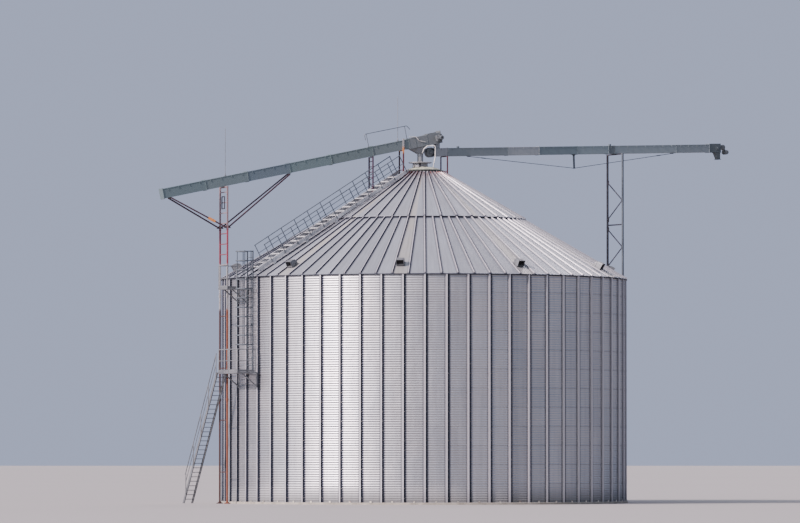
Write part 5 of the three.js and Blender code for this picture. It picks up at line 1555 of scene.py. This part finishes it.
class SILO_OT_ladder(Operator):
    """Wall ladder with its safety cage"""

    bl_idname = "silo.ladder"
    bl_label = "Ladder and cage"

    def execute(self, context):
        place = bearing(STAIR_BEARING)
        out, half, low, top = 9.27, 0.225, LOWER_DECK + GAP, 11.15
        step, rung = 0.28, 0.014
        bm = bmesh.new()
        for side in SIDES:
            y = side * half
            sweep(bm, bar(0.06, 0.028, 0.004), [(out, y, low), (out, y, top)], ACROSS)
            inward = y - side * 0.03
            face = math.sqrt((WALL_RADIUS + 0.006) ** 2 - y * y)
            for z in (6.42, 7.92, 9.42):
                add_box(bm, (face, inward - 0.02, z - 0.005), (out, inward + 0.02, z + 0.005), 0.001)
                add_box(bm, (face - 0.002, inward - 0.04, z - 0.05), (face + 0.006, inward + 0.04, z + 0.05), 0.002)
        for z in levels(low + step, top - 0.06, step):
            sweep(bm, tube(rung, 8), [(out, -half, z + rung), (out, half, z + rung)])
        make_piece(bm, "wall_ladder_stiles_and_rungs", weathered_zinc(), "walkway", "wall_ladder", place=place)
        bm = bmesh.new()
        beside_stile = half + 0.021 + GAP
        near = [(-0.02, -beside_stile), (0.05, -beside_stile), (0.15, -0.34), (0.47, -0.34), (0.7, -0.12)]
        path = near + [(x, -y) for x, y in reversed(near)]
        hoops = [7.01 + 0.41 * k for k in range(11)]
        for z in hoops:
            sweep(bm, bar(0.006, 0.04), rounded([(out + x, y, z) for x, y in path], 0.16, 3))
        tall = UP * (hoops[-1] - hoops[0] + 0.08)
        for x, y in ((0.16, -0.335), (0.475, -0.32), (0.692, 0.0), (0.475, 0.32), (0.16, 0.335)):
            inward = -ACROSS * math.copysign(0.008, y) if y else Vector((-0.008, 0, 0))
            foot = Vector((out + x, y, hoops[0] - 0.04)) + inward
            sweep(bm, bar(0.005, 0.04), [foot, foot + tall], (1, 0, 0) if y else ACROSS)
        make_piece(bm, "ladder_cage_hoops", weathered_zinc(), "walkway", "cage_far_side", "cage_near_side",
                   "cage_back", place=place)
        return {"FINISHED"}


class SILO_OT_platforms(Operator):
    """Grated platforms with brackets and guard rails"""

    bl_idname = "silo.platforms"
    bl_label = "Platforms"

    def execute(self, context):
        sizes = context.scene.silo_steel
        place = bearing(PLATFORM_BEARING)
        inner, outer, far = DECK_INNER + 0.12, DECK_OUTER - 0.025, DECK_FAR + 0.025
        upper_near, lower_near = 0.43, 1.42
        self.deck(sizes, "upper", UPPER_DECK, upper_near, place)
        self.deck(sizes, "lower", LOWER_DECK, lower_near, place)
        upper_rail, lower_rail = upper_near - 0.025, lower_near - 0.025
        upper = [(inner, far), (outer, far), (outer, upper_rail)]
        lower = [(outer, far), (outer, lower_rail), (inner, lower_rail)]
        self.guard(sizes, "upper", UPPER_DECK, upper, upper, 0.42, place)
        self.guard(sizes, "lower", LOWER_DECK, lower, [*lower, (outer, (far + lower_rail) / 2)], 0.5, place)
        return {"FINISHED"}

    def deck(self, sizes, name, top, near, place):
        """Channel frame with grating, two joists and two bracket struts to the wall."""
        low, edge = top - 0.06, 0.006
        bm = bmesh.new()
        for a, b in rim_of((DECK_INNER, DECK_FAR), (DECK_OUTER, near), edge):
            add_box(bm, (*a, low), (*b, top), 0.001)
        grating(bm, (DECK_INNER + edge, DECK_FAR + edge, top - 0.032), (DECK_OUTER - edge, near - edge, top - 0.002),
                sizes.grating)
        for x in (DECK_INNER + 0.35, DECK_INNER + 0.7):
            add_box(bm, (x - 0.025, DECK_FAR + edge, low), (x + 0.025, near - edge, top - 0.033), 0.002)
        for y in (DECK_FAR + 0.06, near - 0.06):
            sweep(bm, bar(0.05, 0.05, 0.004), [(DECK_INNER + 0.03, y, low - 0.56), (DECK_OUTER - 0.26, y, low + 0.02)])
            add_box(bm, (DECK_INNER, y - 0.025, low - 0.62), (DECK_INNER + 0.055, y + 0.025, low + 0.01), 0.003)
        make_piece(bm, f"{name}_deck_grating", walkway_zinc(), "walkway", f"{name}_platform", place=place)

    def guard(self, sizes, name, top, corners, posts, knee, place):
        """Guard rail with a knee rail and a toe board."""
        bm = bmesh.new()
        ring = tube(RAIL_TUBE, sizes.tube_sides)
        for height, outline in ((knee, tube(0.016, 8)), (1.0, ring)):
            sweep(bm, outline, rounded([(x, y, top + height) for x, y in corners], 0.06))
        for x, y in posts:
            sweep(bm, ring, [(x, y, top + GAP), (x, y, top + 0.985)], ACROSS)
            add_box(bm, (x - 0.035, y - 0.02, top + GAP), (x + 0.02, y + 0.035, top + 0.008), 0.001)
        for a, b in zip(corners, corners[1:]):
            sweep(bm, bar(0.004, 0.1), [(*a, top + 0.06), (*b, top + 0.06)])
        make_piece(bm, f"{name}_platform_guard_rail", walkway_zinc(), "walkway", f"{name}_platform_rail", place=place)


class SILO_OT_access_stair(Operator):
    """Steep stair from the ground to the lower platform, with its rail"""

    bl_idname = "silo.access_stair"
    bl_label = "Access stair"

    def execute(self, context):
        sizes = context.scene.silo_steel
        place = bearing(PLATFORM_BEARING)
        inner, outer, deep = 9.69, 10.15, 0.15
        slope = math.tan(math.radians(60))

        def line(z):
            return DECK_FAR - GAP - (LOWER_DECK - z) / slope

        bm = bmesh.new()
        for x0, x1, web in ((inner, inner + 0.04, inner), (outer - 0.04, outer, outer - 0.007)):
            for xs, depths in (((web, web + 0.007), (deep, 0.0)), ((x0, x1), (0.012, 0.0)),
                               ((x0, x1), (deep, deep - 0.012))):
                add_block(bm, lambda a, b, c, xs=xs, depths=depths: Vector((
                    xs[a], line(LOWER_DECK * c) - depths[b], LOWER_DECK * c)))
        for z in levels(0.2, LOWER_DECK - 0.01, 0.2):
            y = line(z) - 0.02
            grating(bm, (inner + 0.007, y - 0.122, z - 0.03), (outer - 0.007, y, z), sizes.grating)
        make_piece(bm, "access_stair_stringers_and_treads", walkway_zinc(), "walkway", "access_stair", place=place)

        def over(z, rise):
            return Vector((outer + RAIL_OFF + GAP, line(z) - deep / 2, z + rise))

        rail, knee = 0.88, 0.46
        ring = tube(RAIL_TUBE, sizes.tube_sides)
        head = bolt_shape(0.02, 0.01)
        bm = bmesh.new()
        for z in (0.5, 1.8, 3.1, 4.4, 5.7):
            sweep(bm, ring, [over(z, -0.1), over(z, rail)], ACROSS)
            bolt_on(bm, head, [over(z, rise) + Vector((0.018, 0, 0)) for rise in (-0.06, 0.02)], (1, 0, 0))
        sweep(bm, ring, [over(0.4, rail), over(5.76, rail)], ACROSS)
        sweep(bm, tube(KNEE_TUBE, 8), [over(0.5, knee), over(5.7, knee)], ACROSS)
        make_piece(bm, "access_stair_rail_tubes", walkway_zinc(), "walkway", "access_stair_rail", place=place)
        return {"FINISHED"}


# Stage

# Each light's azimuth and height over the horizon in degrees, strength, angular size and colour
LIGHTS = (("key_from_left", -56, 32, 9.5, 5, "ffe9ec"),
          ("wide_soft_light_from_left", -55, 28, 3.4, 85, "faf3f4"),
          ("glow_from_behind", 163, 36, 0.6, 18, "ffeff4"))


class SILO_OT_stage(Operator):
    """Pale floor, soft light and the camera at the photograph's angle"""

    bl_idname = "silo.stage"
    bl_label = "Stage"

    def execute(self, context):
        scene = context.scene
        bm = bmesh.new()
        bmesh.ops.create_grid(bm, x_segments=1, y_segments=1, size=900)
        floor = self.put("stage_floor", as_shape(bm, "stage_floor"))
        floor.data.materials.append(studio_floor())
        scene.world = bpy.data.worlds.new("studio_surround")
        scene.world.use_nodes = True
        scene.world.node_tree.nodes["Background"].inputs["Color"].default_value = scene.silo_finishes.surround
        for name, azimuth, height, strength, softness, code in LIGHTS:
            lamp = bpy.data.lights.new(name, "SUN")
            lamp.energy = strength
            lamp.angle = math.radians(softness)
            lamp.color = linear(code)[:3]
            rise = math.radians(height)
            source = polar(math.cos(rise), azimuth, math.sin(rise))
            self.put(name, lamp).rotation_euler = source.to_track_quat("Z", "Y").to_euler()
        camera = bpy.data.cameras.new("photograph_view")
        camera.lens = 240.75
        camera.clip_start, camera.clip_end = 1.0, 1500.0
        scene.camera = self.put("photograph_view", camera)
        scene.camera.location = (-1.084, -240.7, 2.12)
        scene.camera.rotation_euler = (math.radians(92.08), 0, 0)
        return {"FINISHED"}

    def put(self, name, data):
        thing = bpy.data.objects.new(name, data)
        bpy.context.scene.collection.objects.link(thing)
        return thing


class SILO_PT_panel(Panel):
    """Lists the silo's pieces in the sidebar"""

    bl_idname = "SILO_PT_panel"
    bl_label = "Feed silo"
    bl_space_type = "VIEW_3D"
    bl_region_type = "UI"
    bl_category = "Feed silo"

    def draw(self, context):
        scene = context.scene
        for group in (scene.silo_sizes, scene.silo_steel, scene.silo_finishes):
            box = self.layout.box()
            for name in group.__annotations__:
                box.prop(group, name)
        for step in STEPS:
            self.layout.operator(step.bl_idname)


STEPS = (SILO_OT_stage, SILO_OT_foundation, SILO_OT_wall, SILO_OT_roof, SILO_OT_vents, SILO_OT_peak,
         SILO_OT_inclined_conveyor, SILO_OT_level_conveyor, SILO_OT_mast, SILO_OT_peak_frames, SILO_OT_trestle,
         SILO_OT_roof_stair, SILO_OT_ladder, SILO_OT_platforms, SILO_OT_access_stair)
CLASSES = (FinishColours, SiloSizes, SteelSizes, *STEPS, SILO_PT_panel)


def register():
    for kind in CLASSES:
        bpy.utils.register_class(kind)
    bpy.types.Scene.silo_finishes = PointerProperty(type=FinishColours)
    bpy.types.Scene.silo_sizes = PointerProperty(type=SiloSizes)
    bpy.types.Scene.silo_steel = PointerProperty(type=SteelSizes)


def unregister():
    del bpy.types.Scene.silo_steel
    del bpy.types.Scene.silo_sizes
    del bpy.types.Scene.silo_finishes
    for kind in reversed(CLASSES):
        bpy.utils.unregister_class(kind)


def main():
    register()
    bpy.ops.silo.stage()
    bpy.ops.silo.foundation()
    bpy.ops.silo.wall()
    bpy.ops.silo.roof()
    bpy.ops.silo.vents()
    bpy.ops.silo.peak()
    bpy.ops.silo.inclined_conveyor()
    bpy.ops.silo.level_conveyor()
    bpy.ops.silo.mast()
    bpy.ops.silo.peak_frames()
    bpy.ops.silo.trestle()
    bpy.ops.silo.roof_stair()
    bpy.ops.silo.ladder()
    bpy.ops.silo.platforms()
    bpy.ops.silo.access_stair()


if __name__ == "__main__":
    main()
